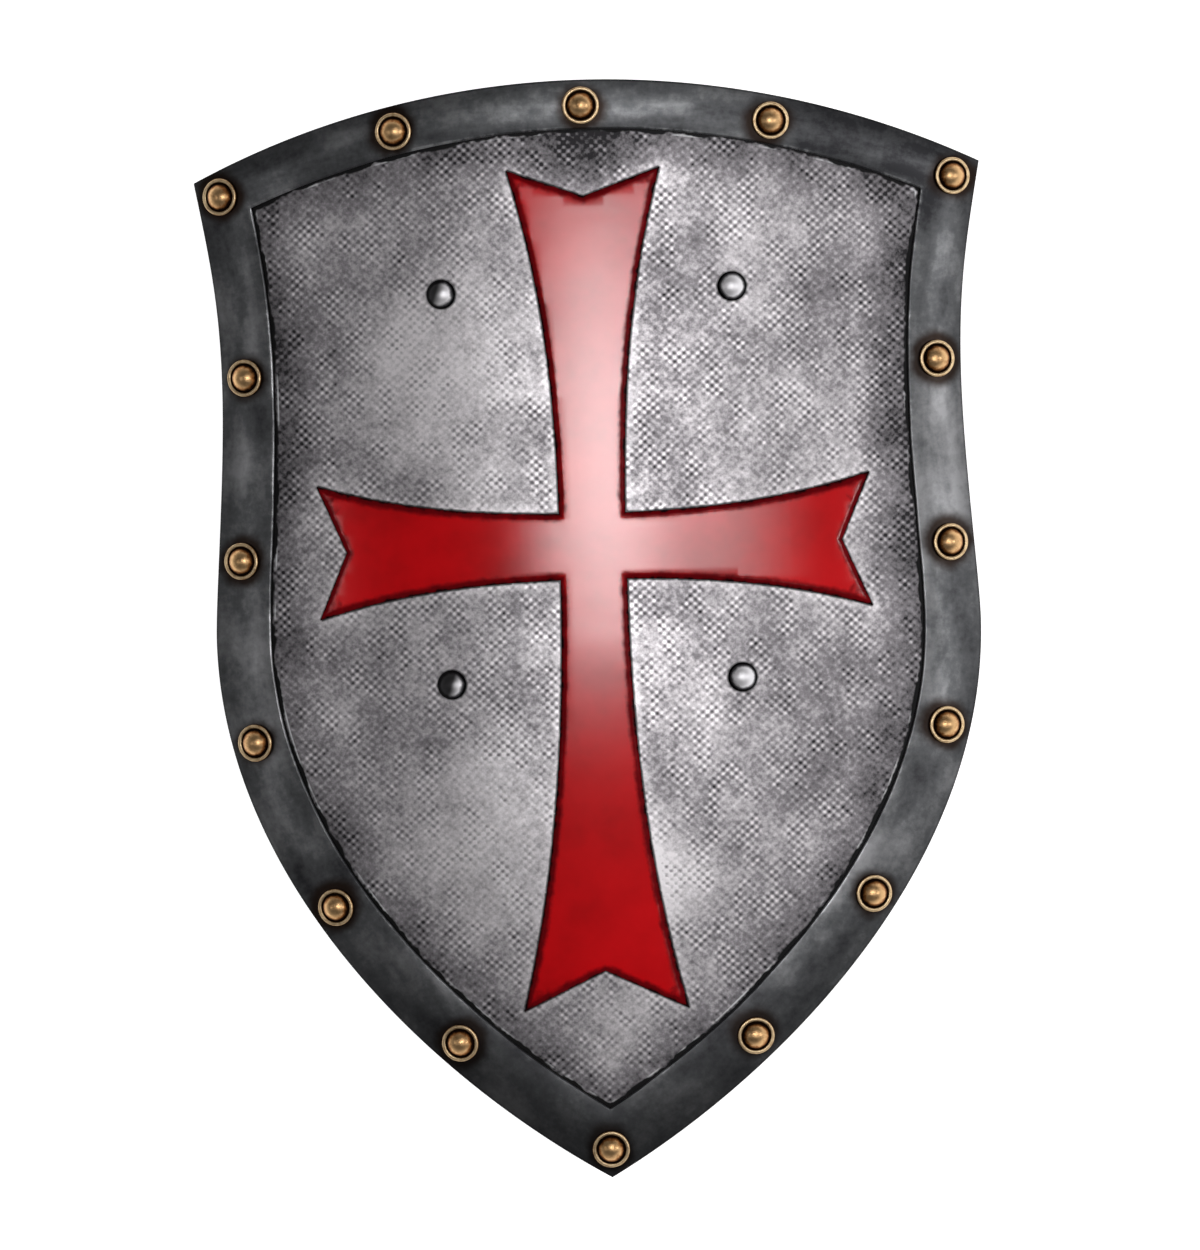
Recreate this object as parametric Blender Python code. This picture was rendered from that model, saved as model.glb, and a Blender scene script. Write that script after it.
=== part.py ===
"""A full-size steel heater shield: a dished plate, a riveted border band, a raised cross and two arm straps.

The shield lies face up. X runs across it, Y towards its top edge and Z out of its face, in metres.
Widths and places are those seen from the front. The dish drops each point behind the plate's highest line.
"""

import math

import bmesh
import bpy
from mathutils import Vector

# Outline
CORNER_WIDTH = 0.460
WAIST_WIDTH = 0.4325
BELLY_WIDTH = 0.448
CROWN_RISE = 0.0516  # middle of the top edge above the corners
CORNER_TO_WAIST = 0.1214
WAIST_TO_BELLY = 0.1473
BELLY_TO_TIP = 0.3197
CORNER_LEAN = math.radians(10.5)  # side edge at the corner, from upright
TIP_HALF_ANGLE = math.radians(59.7)
# Handles of the three side curves, as shares of the height that each curve spans
CORNER_HANDLES = (0.37, 0.41)
WAIST_HANDLES = (0.36, 0.17)
BELLY_HANDLES = (0.44, 0.38)

# Dish of the plate
SIDE_DROP = 0.050  # corners behind the highest line
TIP_DROP = 0.028  # tip behind the highest line
PLATE_THICKNESS = 0.0012

# Border band, an angle section whose lip turns down round the plate's edge
TOP_BAND_WIDTH = 0.0285
SIDE_BAND_WIDTH = 0.031  # from the corner to the waist, widening below it
TIP_BAND_WIDTH = 0.035
BAND_THICKNESS = 0.0015
BAND_CROWN = 0.0011
BAND_ROUNDING = 0.0009
LIP_THICKNESS = 0.0015
LIP_DEPTH = 0.0055

# Cross, placed down from the corners, with its arms ending short of the band
CROSS_DROP = 0.2191
CROSS_ARM_WIDTH = 0.0385
CROSS_TOP_MARGIN = 0.0232
CROSS_SIDE_MARGIN = 0.0242
CROSS_FOOT_MARGIN = 0.0587
CROSS_TOP_SPREAD = 0.089
CROSS_SIDE_SPREAD = 0.078
CROSS_FOOT_SPREAD = 0.096
CROSS_TOP_NOTCH = 0.016
CROSS_SIDE_NOTCH = 0.017
CROSS_FOOT_NOTCH = 0.023
CROSS_THICKNESS = 0.0028
CROSS_EDGE = 0.0010  # upright part of its edge, below the bevel
CROSS_BEVEL = 0.0036
FLARE_POWER = 2.5

# Brass rivets and their cup washers, along the band
RIVET_INSET = 0.0152  # from the outline
RIVET_HEAD_DIAMETER = 0.016
RIVET_HEAD_HEIGHT = 0.0050
WASHER_DIAMETER = 0.022
WASHER_FLOOR = 0.0009
WASHER_RIM_HEIGHT = 0.0021
WASHER_GROOVE = 0.0005  # between the rivet's head and the washer's rim
RIVET_PITCH = 0.108  # aimed at: each run of the band is divided evenly

# Steel strap rivets through the field
STRAP_RIVET_HEAD_DIAMETER = 0.017
STRAP_RIVET_HEAD_HEIGHT = 0.0052
BURR_DIAMETER = 0.015
BURR_THICKNESS = 0.0010

SHANK_DIAMETER = 0.0048
TAIL_DIAMETER = 0.0086
TAIL_HEIGHT = 0.0013

# Leather straps across the back, each a loop between two strap rivets
STRAP_SPACING = 0.169
STRAP_SPAN = 0.227
STRAP_TOP_DROP = 0.0704  # upper strap rivets below the corners
STRAP_WIDTH = 0.036
STRAP_THICKNESS = 0.0035
STRAP_END = 0.022  # strap past its rivet
STRAP_CORNER = 0.011
STRAP_FOOT = 0.013  # flat part on the loop's side of its rivet
STRAP_FLOOR_GAP = 0.009  # under the loop when the shield lies down

GAP = 0.0003  # between pieces that touch
DRILL_CLEARANCE = 0.0004  # round a shank, on the radius

# Fineness of the facets
FACET = 0.0256
FACET_DOWN = 0.040
TOP_STEPS = 9
SIDE_STEPS = (6, 6, 16)
ARM_STEPS = 5
LOOP_STEPS = 12
RIVET_SIDES = 10
STRAP_RIVET_SIDES = 14
WASHER_SIDES = 12
DRILL_SIDES = 8

HEIGHT = CROWN_RISE + CORNER_TO_WAIST + WAIST_TO_BELLY + BELLY_TO_TIP
CORNER_Y = HEIGHT / 2 - CROWN_RISE
WAIST_Y = CORNER_Y - CORNER_TO_WAIST
BELLY_Y = WAIST_Y - WAIST_TO_BELLY
TIP_Y = BELLY_Y - BELLY_TO_TIP
CROSS_Y = CORNER_Y - CROSS_DROP

# The top edge is an arc through its middle and both corners
CROWN_RADIUS = ((CORNER_WIDTH / 2) ** 2 + CROWN_RISE**2) / (2 * CROWN_RISE)
CROWN_CENTRE = Vector((0.0, HEIGHT / 2 - CROWN_RADIUS))

# Heights above the plate's face
BAND_TOP = GAP + BAND_THICKNESS
WASHER_SEAT = BAND_TOP + BAND_CROWN + GAP
RIVET_SEAT = WASHER_SEAT + WASHER_FLOOR + GAP
RIVET_TAIL = -PLATE_THICKNESS - GAP
DISH_RADIUS = (CORNER_WIDTH / 2) ** 2 / (2 * SIDE_DROP)
STRAP_FRONT = -PLATE_THICKNESS - GAP - STRAP_WIDTH**2 / (8 * DISH_RADIUS)
BURR_FRONT = STRAP_FRONT - STRAP_THICKNESS - GAP
STRAP_RIVET_TAIL = BURR_FRONT - BURR_THICKNESS - GAP


def clear_scene():
    for obj in list(bpy.data.objects):
        bpy.data.objects.remove(obj, do_unlink=True)


def linear(code):
    """Linear colour of an sRGB hex code such as #8a8d90."""
    channels = [int(code[place : place + 2], 16) / 255 for place in (1, 3, 5)]
    return [c / 12.92 if c <= 0.04045 else ((c + 0.055) / 1.055) ** 2.4 for c in channels]


def material(name, code, roughness, metallic):
    made = bpy.data.materials.new(name)
    made.use_nodes = True
    shader = made.node_tree.nodes["Principled BSDF"]
    shader.inputs["Base Color"].default_value = (*linear(code), 1.0)
    shader.inputs["Roughness"].default_value = roughness
    shader.inputs["Metallic"].default_value = metallic
    made.diffuse_color = (*linear(code), 1.0)
    return made


def add_object(name, bm, finish, root):
    """Turns the bmesh into an object with its faces outwards, shaded smooth across gentle bends."""
    bmesh.ops.recalc_face_normals(bm, faces=bm.faces[:])
    mesh = bpy.data.meshes.new(name)
    bm.to_mesh(mesh)
    bm.free()
    mesh.shade_smooth()
    mesh.set_sharp_from_angle(angle=math.radians(35))
    return add_copy(name, mesh, finish, root)


def add_copy(name, mesh, finish, root):
    obj = bpy.data.objects.new(name, mesh)
    bpy.context.scene.collection.objects.link(obj)
    if finish and not mesh.materials:
        mesh.materials.append(finish)
    obj.parent = root
    return obj


def bezier(curve, share):
    a, b, c, d = curve
    rest = 1 - share
    return a * rest**3 + b * (3 * rest**2 * share) + c * (3 * rest * share**2) + d * share**3


def bezier_heading(curve, share):
    a, b, c, d = curve
    rest = 1 - share
    return ((b - a) * rest**2 + (c - b) * (2 * rest * share) + (d - c) * share**2).normalized()


def side_curves():
    """The right side from the corner down: to the waist, to the belly and to the tip."""
    corner = Vector((CORNER_WIDTH / 2, CORNER_Y))
    waist = Vector((WAIST_WIDTH / 2, WAIST_Y))
    belly = Vector((BELLY_WIDTH / 2, BELLY_Y))
    tip = Vector((0.0, TIP_Y))
    up = Vector((0.0, 1.0))
    leaning = Vector((math.sin(CORNER_LEAN), math.cos(CORNER_LEAN)))
    from_tip = Vector((math.sin(TIP_HALF_ANGLE), math.cos(TIP_HALF_ANGLE)))
    upper = [share * CORNER_TO_WAIST for share in CORNER_HANDLES]
    middle = [share * WAIST_TO_BELLY for share in WAIST_HANDLES]
    lower = [share * BELLY_TO_TIP for share in BELLY_HANDLES]
    return (
        (corner, corner - leaning * upper[0], waist + up * upper[1], waist),
        (waist, waist - up * middle[0], belly + up * middle[1], belly),
        (belly, belly - up * lower[0], tip + from_tip * lower[1], tip),
    )


def side_point(place, inset, share):
    """A point of the right side, moved in by inset and a share of the band's width.

    Place runs from 0 at the corner to 3 at the tip.
    """
    number = min(int(place), 2)
    curve = side_curves()[number]
    heading = bezier_heading(curve, place - number)
    below_waist = max(0.0, place - 1) / 2
    width = SIDE_BAND_WIDTH + (TIP_BAND_WIDTH - SIDE_BAND_WIDTH) * below_waist
    return bezier(curve, place - number) + Vector((heading.y, -heading.x)) * (inset + share * width)


def top_radius(inset, share):
    return CROWN_RADIUS - inset - share * TOP_BAND_WIDTH


def falls_to_zero(value, low, high):
    """Where a value that is positive at low and negative at high passes zero."""
    for _ in range(40):
        middle = (low + high) / 2
        if value(middle) > 0:
            low = middle
        else:
            high = middle
    return (low + high) / 2


def side_line(inset, share=0.0):
    """The right side from the corner to the tip, moved in and trimmed at both ends."""

    def above_top(place):
        return (side_point(place, inset, share) - CROWN_CENTRE).length - top_radius(inset, share)

    start = falls_to_zero(above_top, 0.0, 1.0)
    end = falls_to_zero(lambda place: side_point(place, inset, share).x, 2.0, 3.0)
    bounds = (start, 1.0, 2.0, end)
    points = []
    for number, steps in enumerate(SIDE_STEPS):
        reach = bounds[number + 1] - bounds[number]
        places = [bounds[number] + reach * step / steps for step in range(steps)]
        points += [side_point(place, inset, share) for place in places]
    points.append(Vector((0.0, side_point(end, inset, share).y)))
    return points


def top_line(inset, share=0.0):
    """The right half of the top edge, from its middle to the corner, moved in."""
    radius = top_radius(inset, share)
    reach = math.asin(side_line(inset, share)[0].x / radius)
    angles = [reach * step / TOP_STEPS for step in range(TOP_STEPS + 1)]
    return [CROWN_CENTRE + Vector((math.sin(angle), math.cos(angle))) * radius for angle in angles]


def mirrored(points):
    return [Vector((-point.x, point.y)) for point in points]


def outline(inset, share=0.0):
    """The whole outline as a closed loop, moved in by inset and a share of the band's width."""
    right = top_line(inset, share) + side_line(inset, share)[1:]
    return right + mirrored(reversed(right[1:-1]))


def spread(points, pitch):
    """Points at even steps of about a pitch along a line, with both its ends."""
    lengths = [(b - a).length for a, b in zip(points, points[1:])]
    intervals = max(1, round(sum(lengths) / pitch))
    marks = [sum(lengths) * step / intervals for step in range(1, intervals)]
    found = [points[0]]
    passed = 0.0
    for start, end, length in zip(points, points[1:], lengths):
        while marks and marks[0] <= passed + length:
            found.append(start.lerp(end, (marks.pop(0) - passed) / length))
        passed += length
    return found + [points[-1]]


def drop(x, y):
    """How far the face at x, y lies behind the plate's highest line."""
    below = max(0.0, BELLY_Y - y)
    return x**2 / (2 * DISH_RADIUS) + TIP_DROP * (below / BELLY_TO_TIP) ** 2


def face_normal(x, y):
    below = max(0.0, BELLY_Y - y)
    return Vector((x / DISH_RADIUS, -2 * TIP_DROP * below / BELLY_TO_TIP**2, 1.0)).normalized()


def on_face(x, y, height):
    """The point at a height above the dished face, measured square to it."""
    return Vector((x, y, -drop(x, y))) + face_normal(x, y) * height


def cut_facets(bm):
    """Cuts a flat shape along the lines where its facets will bend."""
    across = math.ceil(CORNER_WIDTH / 2 / FACET)
    cuts = [(Vector((number * FACET, 0, 0)), Vector((1, 0, 0))) for number in range(-across, across + 1)]
    rows = math.ceil(BELLY_TO_TIP / FACET_DOWN)
    for number in range(rows):
        cuts.append((Vector((0, BELLY_Y - number * FACET_DOWN, 0)), Vector((0, 1, 0))))
    for place, direction in cuts:
        everything = bm.verts[:] + bm.edges[:] + bm.faces[:]
        bmesh.ops.bisect_plane(bm, geom=everything, dist=1e-6, plane_co=place, plane_no=direction)


def dish(bm):
    """Bends a shape modelled flat, whose z is its height above the face."""
    for vert in bm.verts:
        vert.co = on_face(*vert.co)


def make_plate(root):
    bm = bmesh.new()
    rim = [bm.verts.new((*point, 0.0)) for point in outline(LIP_THICKNESS + GAP)]
    bm.faces.new(rim)
    cut_facets(bm)
    back = bmesh.ops.extrude_face_region(bm, geom=bm.faces[:], use_keep_orig=True)["geom"]
    moved = [part for part in back if isinstance(part, bmesh.types.BMVert)]
    bmesh.ops.translate(bm, vec=(0, 0, -PLATE_THICKNESS), verts=moved)
    dish(bm)
    bmesh.ops.triangulate(bm, faces=bm.faces[:])
    return add_object("shield_plate", bm, material("dimpled_steel", "#9a9c9e", 0.36, 1.0), root)


def make_band(root):
    bm = bmesh.new()
    # Inset, share of the band's width and height above the face
    section = (
        (0.0, 0.0, -LIP_DEPTH),
        (0.0, 0.0, BAND_TOP - BAND_ROUNDING),
        (BAND_ROUNDING, 0.0, BAND_TOP),
        (0.0, 0.5, BAND_TOP + BAND_CROWN),
        (-BAND_ROUNDING, 1.0, BAND_TOP),
        (0.0, 1.0, GAP),
        (0.0, 0.5, GAP),
        (LIP_THICKNESS, 0.0, GAP),
        (LIP_THICKNESS, 0.0, -LIP_DEPTH),
    )
    rings = []
    for inset, share, height in section:
        line = outline(inset, share)
        rings.append([bm.verts.new(on_face(point.x, point.y, height)) for point in line])
    for ring, following in zip(rings, rings[1:] + rings[:1]):
        for number in range(len(ring)):
            before = number - 1
            bm.faces.new((ring[before], ring[number], following[number], following[before]))
    bmesh.ops.triangulate(bm, faces=bm.faces[:])
    return add_object("border_band", bm, material("dark_steel", "#45474b", 0.42, 1.0), root)


def arm(heading, length, spread_width, notch):
    """Edge of one arm of the cross, clockwise from one side of its root round its forked end."""
    aside = Vector((heading.y, -heading.x))
    root = CROSS_ARM_WIDTH / 2
    flare = []
    for step in range(1, ARM_STEPS + 1):
        along = root + (length - root) * step / ARM_STEPS
        half = root + (spread_width / 2 - root) * (along / length) ** FLARE_POWER
        flare.append((along, half))
    points = [heading * along - aside * half for along, half in flare]
    points.append(heading * (length - notch))
    points += [heading * along + aside * half for along, half in reversed(flare)]
    points.append(heading * root + aside * root)
    return points


def make_cross(root):
    up_length = HEIGHT / 2 - TOP_BAND_WIDTH - CROSS_TOP_MARGIN - CROSS_Y
    side_length = WAIST_WIDTH / 2 - SIDE_BAND_WIDTH - CROSS_SIDE_MARGIN
    band_inside = TIP_Y + TIP_BAND_WIDTH / math.sin(TIP_HALF_ANGLE)
    foot_length = CROSS_Y - band_inside - CROSS_FOOT_MARGIN
    arms = (
        (Vector((0, 1)), up_length, CROSS_TOP_SPREAD, CROSS_TOP_NOTCH),
        (Vector((1, 0)), side_length, CROSS_SIDE_SPREAD, CROSS_SIDE_NOTCH),
        (Vector((0, -1)), foot_length, CROSS_FOOT_SPREAD, CROSS_FOOT_NOTCH),
        (Vector((-1, 0)), side_length, CROSS_SIDE_SPREAD, CROSS_SIDE_NOTCH),
    )
    bm = bmesh.new()
    edge = []
    for heading, length, spread_width, notch in arms:
        edge += arm(heading, length, spread_width, notch)
    under = bm.faces.new([bm.verts.new((point.x, CROSS_Y + point.y, GAP)) for point in edge])
    raised = bmesh.ops.extrude_face_region(bm, geom=[under], use_keep_orig=True)["geom"]
    top = next(part for part in raised if isinstance(part, bmesh.types.BMFace))
    bmesh.ops.translate(bm, vec=(0, 0, CROSS_EDGE), verts=top.verts[:])
    bmesh.ops.inset_region(bm, faces=[top], thickness=CROSS_BEVEL, use_even_offset=True)
    bmesh.ops.translate(bm, vec=(0, 0, CROSS_THICKNESS - CROSS_EDGE), verts=top.verts[:])
    cut_facets(bm)
    dish(bm)
    return add_object("cross", bm, material("red_enamel", "#a80d14", 0.22, 0.0), root)


def turned(name, profile, sides, finish):
    """Mesh of a closed profile, given as radius and height pairs, turned round Z."""
    bm = bmesh.new()
    verts = [bm.verts.new((radius, 0.0, height)) for radius, height in profile]
    edges = [bm.edges.new(pair) for pair in zip(verts, verts[1:])]
    if profile[0][0] > 0:
        edges.append(bm.edges.new((verts[-1], verts[0])))
    bmesh.ops.spin(
        bm,
        geom=verts + edges,
        cent=(0, 0, 0),
        axis=(0, 0, 1),
        angle=2 * math.pi,
        steps=sides,
        use_merge=True,
    )
    bmesh.ops.remove_doubles(bm, verts=bm.verts[:], dist=1e-6)
    bmesh.ops.recalc_face_normals(bm, faces=bm.faces[:])
    mesh = bpy.data.meshes.new(name)
    bm.to_mesh(mesh)
    bm.free()
    mesh.shade_smooth()
    mesh.set_sharp_from_angle(angle=math.radians(50))
    mesh.materials.append(finish)
    return mesh


def rivet_profile(head_diameter, head_height, grip):
    """A domed rivet, set: its head's underside is at zero and its flattened tail is a grip below."""
    head = head_diameter / 2
    shank = SHANK_DIAMETER / 2
    tail = TAIL_DIAMETER / 2
    return (
        (0.0, head_height),
        (head * 0.42, head_height * 0.93),
        (head * 0.80, head_height * 0.60),
        (head, 0.0),
        (shank, 0.0),
        (shank, -grip),
        (tail, -grip),
        (tail * 0.86, -grip - TAIL_HEIGHT),
        (0.0, -grip - TAIL_HEIGHT),
    )


def washer_profile():
    """A cup washer: a floor under the rivet's head, inside a raised round rim."""
    hole = SHANK_DIAMETER / 2 + DRILL_CLEARANCE
    rim_inside = RIVET_HEAD_DIAMETER / 2 + WASHER_GROOVE
    outer = WASHER_DIAMETER / 2
    return (
        (hole, 0.0),
        (hole, WASHER_FLOOR),
        (rim_inside, WASHER_FLOOR),
        ((rim_inside + outer) / 2, WASHER_RIM_HEIGHT),
        (outer, 0.0),
    )


def burr_profile():
    hole = SHANK_DIAMETER / 2 + DRILL_CLEARANCE
    outer = BURR_DIAMETER / 2
    return ((hole, 0.0), (outer, 0.0), (outer, -BURR_THICKNESS), (hole, -BURR_THICKNESS))


def seat(obj, place, height):
    """Stands an object on the face at a place, its Z along the face's normal."""
    obj.location = on_face(place.x, place.y, height)
    obj.rotation_euler = face_normal(place.x, place.y).to_track_quat("Z", "Y").to_euler()


def band_rivet_places():
    """Along the band, clockwise from the middle of the top."""
    top = spread(top_line(RIVET_INSET), RIVET_PITCH)
    side = spread(side_line(RIVET_INSET), RIVET_PITCH)
    right = top + side[1:]
    return right + mirrored(reversed(right[1:-1]))


def strap_rivet_places():
    upper = CORNER_Y - STRAP_TOP_DROP
    lower = upper - STRAP_SPAN
    return [Vector((side * STRAP_SPACING / 2, y)) for side in (-1, 1) for y in (upper, lower)]


def make_drill(name, places, root):
    """One cutter with a drill at each place, square to the face and long enough for every piece there."""
    bm = bmesh.new()
    reach = 2 * (RIVET_SEAT - STRAP_RIVET_TAIL)
    for place in places:
        turn = face_normal(place.x, place.y).to_track_quat("Z", "Y").to_matrix().to_4x4()
        turn.translation = on_face(place.x, place.y, 0.0)
        bmesh.ops.create_cone(
            bm,
            cap_ends=True,
            segments=DRILL_SIDES,
            radius1=SHANK_DIAMETER / 2 + DRILL_CLEARANCE,
            radius2=SHANK_DIAMETER / 2 + DRILL_CLEARANCE,
            depth=reach,
            matrix=turn,
        )
    drill = add_object(name, bm, None, root)
    drill.hide_render = True
    drill.display_type = "WIRE"
    return drill


def drill_holes(obj, drill):
    cut = obj.modifiers.new(drill.name, "BOOLEAN")
    cut.operation = "DIFFERENCE"
    cut.solver = "EXACT"
    cut.object = drill


def make_strap(name, x, floor, finish, root):
    """A leather loop that lies flat under its two rivets and bows away from the plate between them."""
    upper = CORNER_Y - STRAP_TOP_DROP
    loop_top = upper - STRAP_FOOT
    loop_length = STRAP_SPAN - 2 * STRAP_FOOT
    middle = STRAP_FRONT - STRAP_THICKNESS / 2
    bow = on_face(x, upper, STRAP_FRONT - STRAP_THICKNESS).z - floor - STRAP_FLOOR_GAP

    def half_width(from_end):
        short = max(0.0, STRAP_CORNER - from_end)
        return STRAP_WIDTH / 2 - STRAP_CORNER + math.sqrt(STRAP_CORNER**2 - short**2)

    def depth(down):
        share = min(max((down - STRAP_END - STRAP_FOOT) / loop_length, 0.0), 1.0)
        return middle - bow * math.sin(math.pi * share) ** 2

    length = STRAP_SPAN + 2 * STRAP_END
    ends = [STRAP_CORNER * share for share in (0.0, 0.12, 0.45, 1.0)]
    loop = [STRAP_END + STRAP_FOOT + loop_length * step / LOOP_STEPS for step in range(LOOP_STEPS + 1)]
    stations = ends + loop + [length - end for end in reversed(ends)]
    across = Vector((1.0, 0.0, -x / DISH_RADIUS)).normalized()
    small = STRAP_THICKNESS / 10
    bm = bmesh.new()
    rings = []
    for down in stations:
        y = upper + STRAP_END - down
        bend = (depth(down - small) - depth(down + small)) / (2 * small)
        outwards = Vector((0.0, -bend, 1.0)).normalized() * (STRAP_THICKNESS / 2)
        side = across * half_width(min(down, length - down))
        ring = []
        for way, thick in ((-1, -1), (1, -1), (1, 1), (-1, 1)):
            centre = on_face(x, y + thick * outwards.y, depth(down) + thick * outwards.z)
            ring.append(bm.verts.new(centre + side * way))
        rings.append(ring)
    for ring, following in zip(rings, rings[1:]):
        for number in range(4):
            before = number - 1
            bm.faces.new((ring[before], ring[number], following[number], following[before]))
    bm.faces.new(rings[0])
    bm.faces.new(rings[-1])
    return add_object(name, bm, finish, root)


def make_band_rivets(root):
    brass = material("aged_brass", "#b08a4a", 0.30, 1.0)
    pale_brass = material("worn_brass", "#b9995f", 0.36, 1.0)
    profile = rivet_profile(RIVET_HEAD_DIAMETER, RIVET_HEAD_HEIGHT, RIVET_SEAT - RIVET_TAIL)
    rivet_mesh = turned("border_rivet", profile, RIVET_SIDES, brass)
    washer_mesh = turned("rivet_washer", washer_profile(), WASHER_SIDES, pale_brass)
    for number, place in enumerate(band_rivet_places(), 1):
        seat(add_copy(f"border_rivet_{number:02d}", rivet_mesh, brass, root), place, RIVET_SEAT)
        seat(add_copy(f"rivet_washer_{number:02d}", washer_mesh, pale_brass, root), place, WASHER_SEAT)


def make_strap_rivets(root):
    steel = material("bright_steel", "#a9abad", 0.28, 1.0)
    burr_steel = material("grey_steel", "#77797c", 0.45, 1.0)
    profile = rivet_profile(STRAP_RIVET_HEAD_DIAMETER, STRAP_RIVET_HEAD_HEIGHT, GAP - STRAP_RIVET_TAIL)
    rivet_mesh = turned("strap_rivet", profile, STRAP_RIVET_SIDES, steel)
    burr_mesh = turned("strap_burr", burr_profile(), WASHER_SIDES, burr_steel)
    for number, place in enumerate(strap_rivet_places(), 1):
        seat(add_copy(f"strap_rivet_{number}", rivet_mesh, steel, root), place, GAP)
        seat(add_copy(f"strap_burr_{number}", burr_mesh, burr_steel, root), place, BURR_FRONT)


def main():
    clear_scene()
    root = bpy.data.objects.new("shield", None)
    bpy.context.scene.collection.objects.link(root)
    plate = make_plate(root)
    band = make_band(root)
    make_cross(root)
    floor = min(vert.co.z for vert in band.data.vertices)
    lengthwise = [vert.co.y for vert in band.data.vertices]
    leather = material("brown_leather", "#5b3a22", 0.62, 0.0)
    straps = [
        make_strap("forearm_strap", -STRAP_SPACING / 2, floor, leather, root),
        make_strap("grip_strap", STRAP_SPACING / 2, floor, leather, root),
    ]
    band_drill = make_drill("band_drill", band_rivet_places(), root)
    strap_drill = make_drill("strap_drill", strap_rivet_places(), root)
    drill_holes(plate, band_drill)
    drill_holes(plate, strap_drill)
    drill_holes(band, band_drill)
    for strap in straps:
        drill_holes(strap, strap_drill)
    make_band_rivets(root)
    make_strap_rivets(root)
    # The shield lies on the ground with the middle of its length over the origin
    root.location = (0.0, -(min(lengthwise) + max(lengthwise)) / 2, -floor)


main()
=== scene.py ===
import math

import bmesh
import bpy
from mathutils import Matrix, Vector, noise
from mathutils.kdtree import KDTree


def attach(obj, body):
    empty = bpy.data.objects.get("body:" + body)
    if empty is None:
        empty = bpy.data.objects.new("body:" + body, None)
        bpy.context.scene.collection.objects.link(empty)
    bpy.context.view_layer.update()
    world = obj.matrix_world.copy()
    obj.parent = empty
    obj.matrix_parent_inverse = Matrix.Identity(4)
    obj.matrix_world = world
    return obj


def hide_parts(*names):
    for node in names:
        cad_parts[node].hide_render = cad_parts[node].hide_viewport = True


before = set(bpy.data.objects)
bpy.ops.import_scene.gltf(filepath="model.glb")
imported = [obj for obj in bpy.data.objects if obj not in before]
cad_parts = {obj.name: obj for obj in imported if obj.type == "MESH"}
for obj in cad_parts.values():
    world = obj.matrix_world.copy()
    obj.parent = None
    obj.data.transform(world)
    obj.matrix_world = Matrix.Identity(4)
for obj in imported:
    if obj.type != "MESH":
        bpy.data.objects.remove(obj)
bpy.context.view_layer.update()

# The shield's outline and dish, in metres, the same as the solids have
shield = {
    "cornerWidth": 0.460,
    "waistWidth": 0.4325,
    "bellyWidth": 0.448,
    "crownRise": 0.0516,
    "cornerToWaist": 0.1214,
    "waistToBelly": 0.1473,
    "bellyToTip": 0.3197,
    "cornerLean": math.radians(10.5),
    "tipHalfAngle": math.radians(59.7),
    "cornerHandles": (0.37, 0.41),
    "waistHandles": (0.36, 0.17),
    "bellyHandles": (0.44, 0.38),
    "sideDrop": 0.050,
    "tipDrop": 0.028,
    "topSteps": 56,            # steps along half of the top edge
    "sideSteps": (30, 36, 96),  # corner to waist, waist to belly, belly to tip
    "gap": 0.0003,             # between pieces that touch
    "rise": Vector((0.0, 0.0000776, 0.0550439)),  # from the highest line of the face to the ground
}

height = sum(shield[part] for part in ("crownRise", "cornerToWaist", "waistToBelly", "bellyToTip"))
cornerY = height / 2 - shield["crownRise"]
waistY = cornerY - shield["cornerToWaist"]
bellyY = waistY - shield["waistToBelly"]
tipY = bellyY - shield["bellyToTip"]
crownRadius = ((shield["cornerWidth"] / 2) ** 2 + shield["crownRise"] ** 2) / (2 * shield["crownRise"])
crownCentre = Vector((0.0, height / 2 - crownRadius))
dishRadius = (shield["cornerWidth"] / 2) ** 2 / (2 * shield["sideDrop"])


def bezier(curve, share):
    a, b, c, d = curve
    rest = 1 - share
    return a * rest**3 + b * (3 * rest**2 * share) + c * (3 * rest * share**2) + d * share**3


def bezierHeading(curve, share):
    a, b, c, d = curve
    rest = 1 - share
    return ((b - a) * rest**2 + (c - b) * (2 * rest * share) + (d - c) * share**2).normalized()


def findSideCurves():
    corner = Vector((shield["cornerWidth"] / 2, cornerY))
    waist = Vector((shield["waistWidth"] / 2, waistY))
    belly = Vector((shield["bellyWidth"] / 2, bellyY))
    tip = Vector((0.0, tipY))
    up = Vector((0.0, 1.0))
    lean = shield["cornerLean"]
    half = shield["tipHalfAngle"]
    leaning = Vector((math.sin(lean), math.cos(lean)))
    fromTip = Vector((math.sin(half), math.cos(half)))
    upper = [share * shield["cornerToWaist"] for share in shield["cornerHandles"]]
    middle = [share * shield["waistToBelly"] for share in shield["waistHandles"]]
    lower = [share * shield["bellyToTip"] for share in shield["bellyHandles"]]
    return (
        (corner, corner - leaning * upper[0], waist + up * upper[1], waist),
        (waist, waist - up * middle[0], belly + up * middle[1], belly),
        (belly, belly - up * lower[0], tip + fromTip * lower[1], tip),
    )


sideCurves = findSideCurves()

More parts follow.
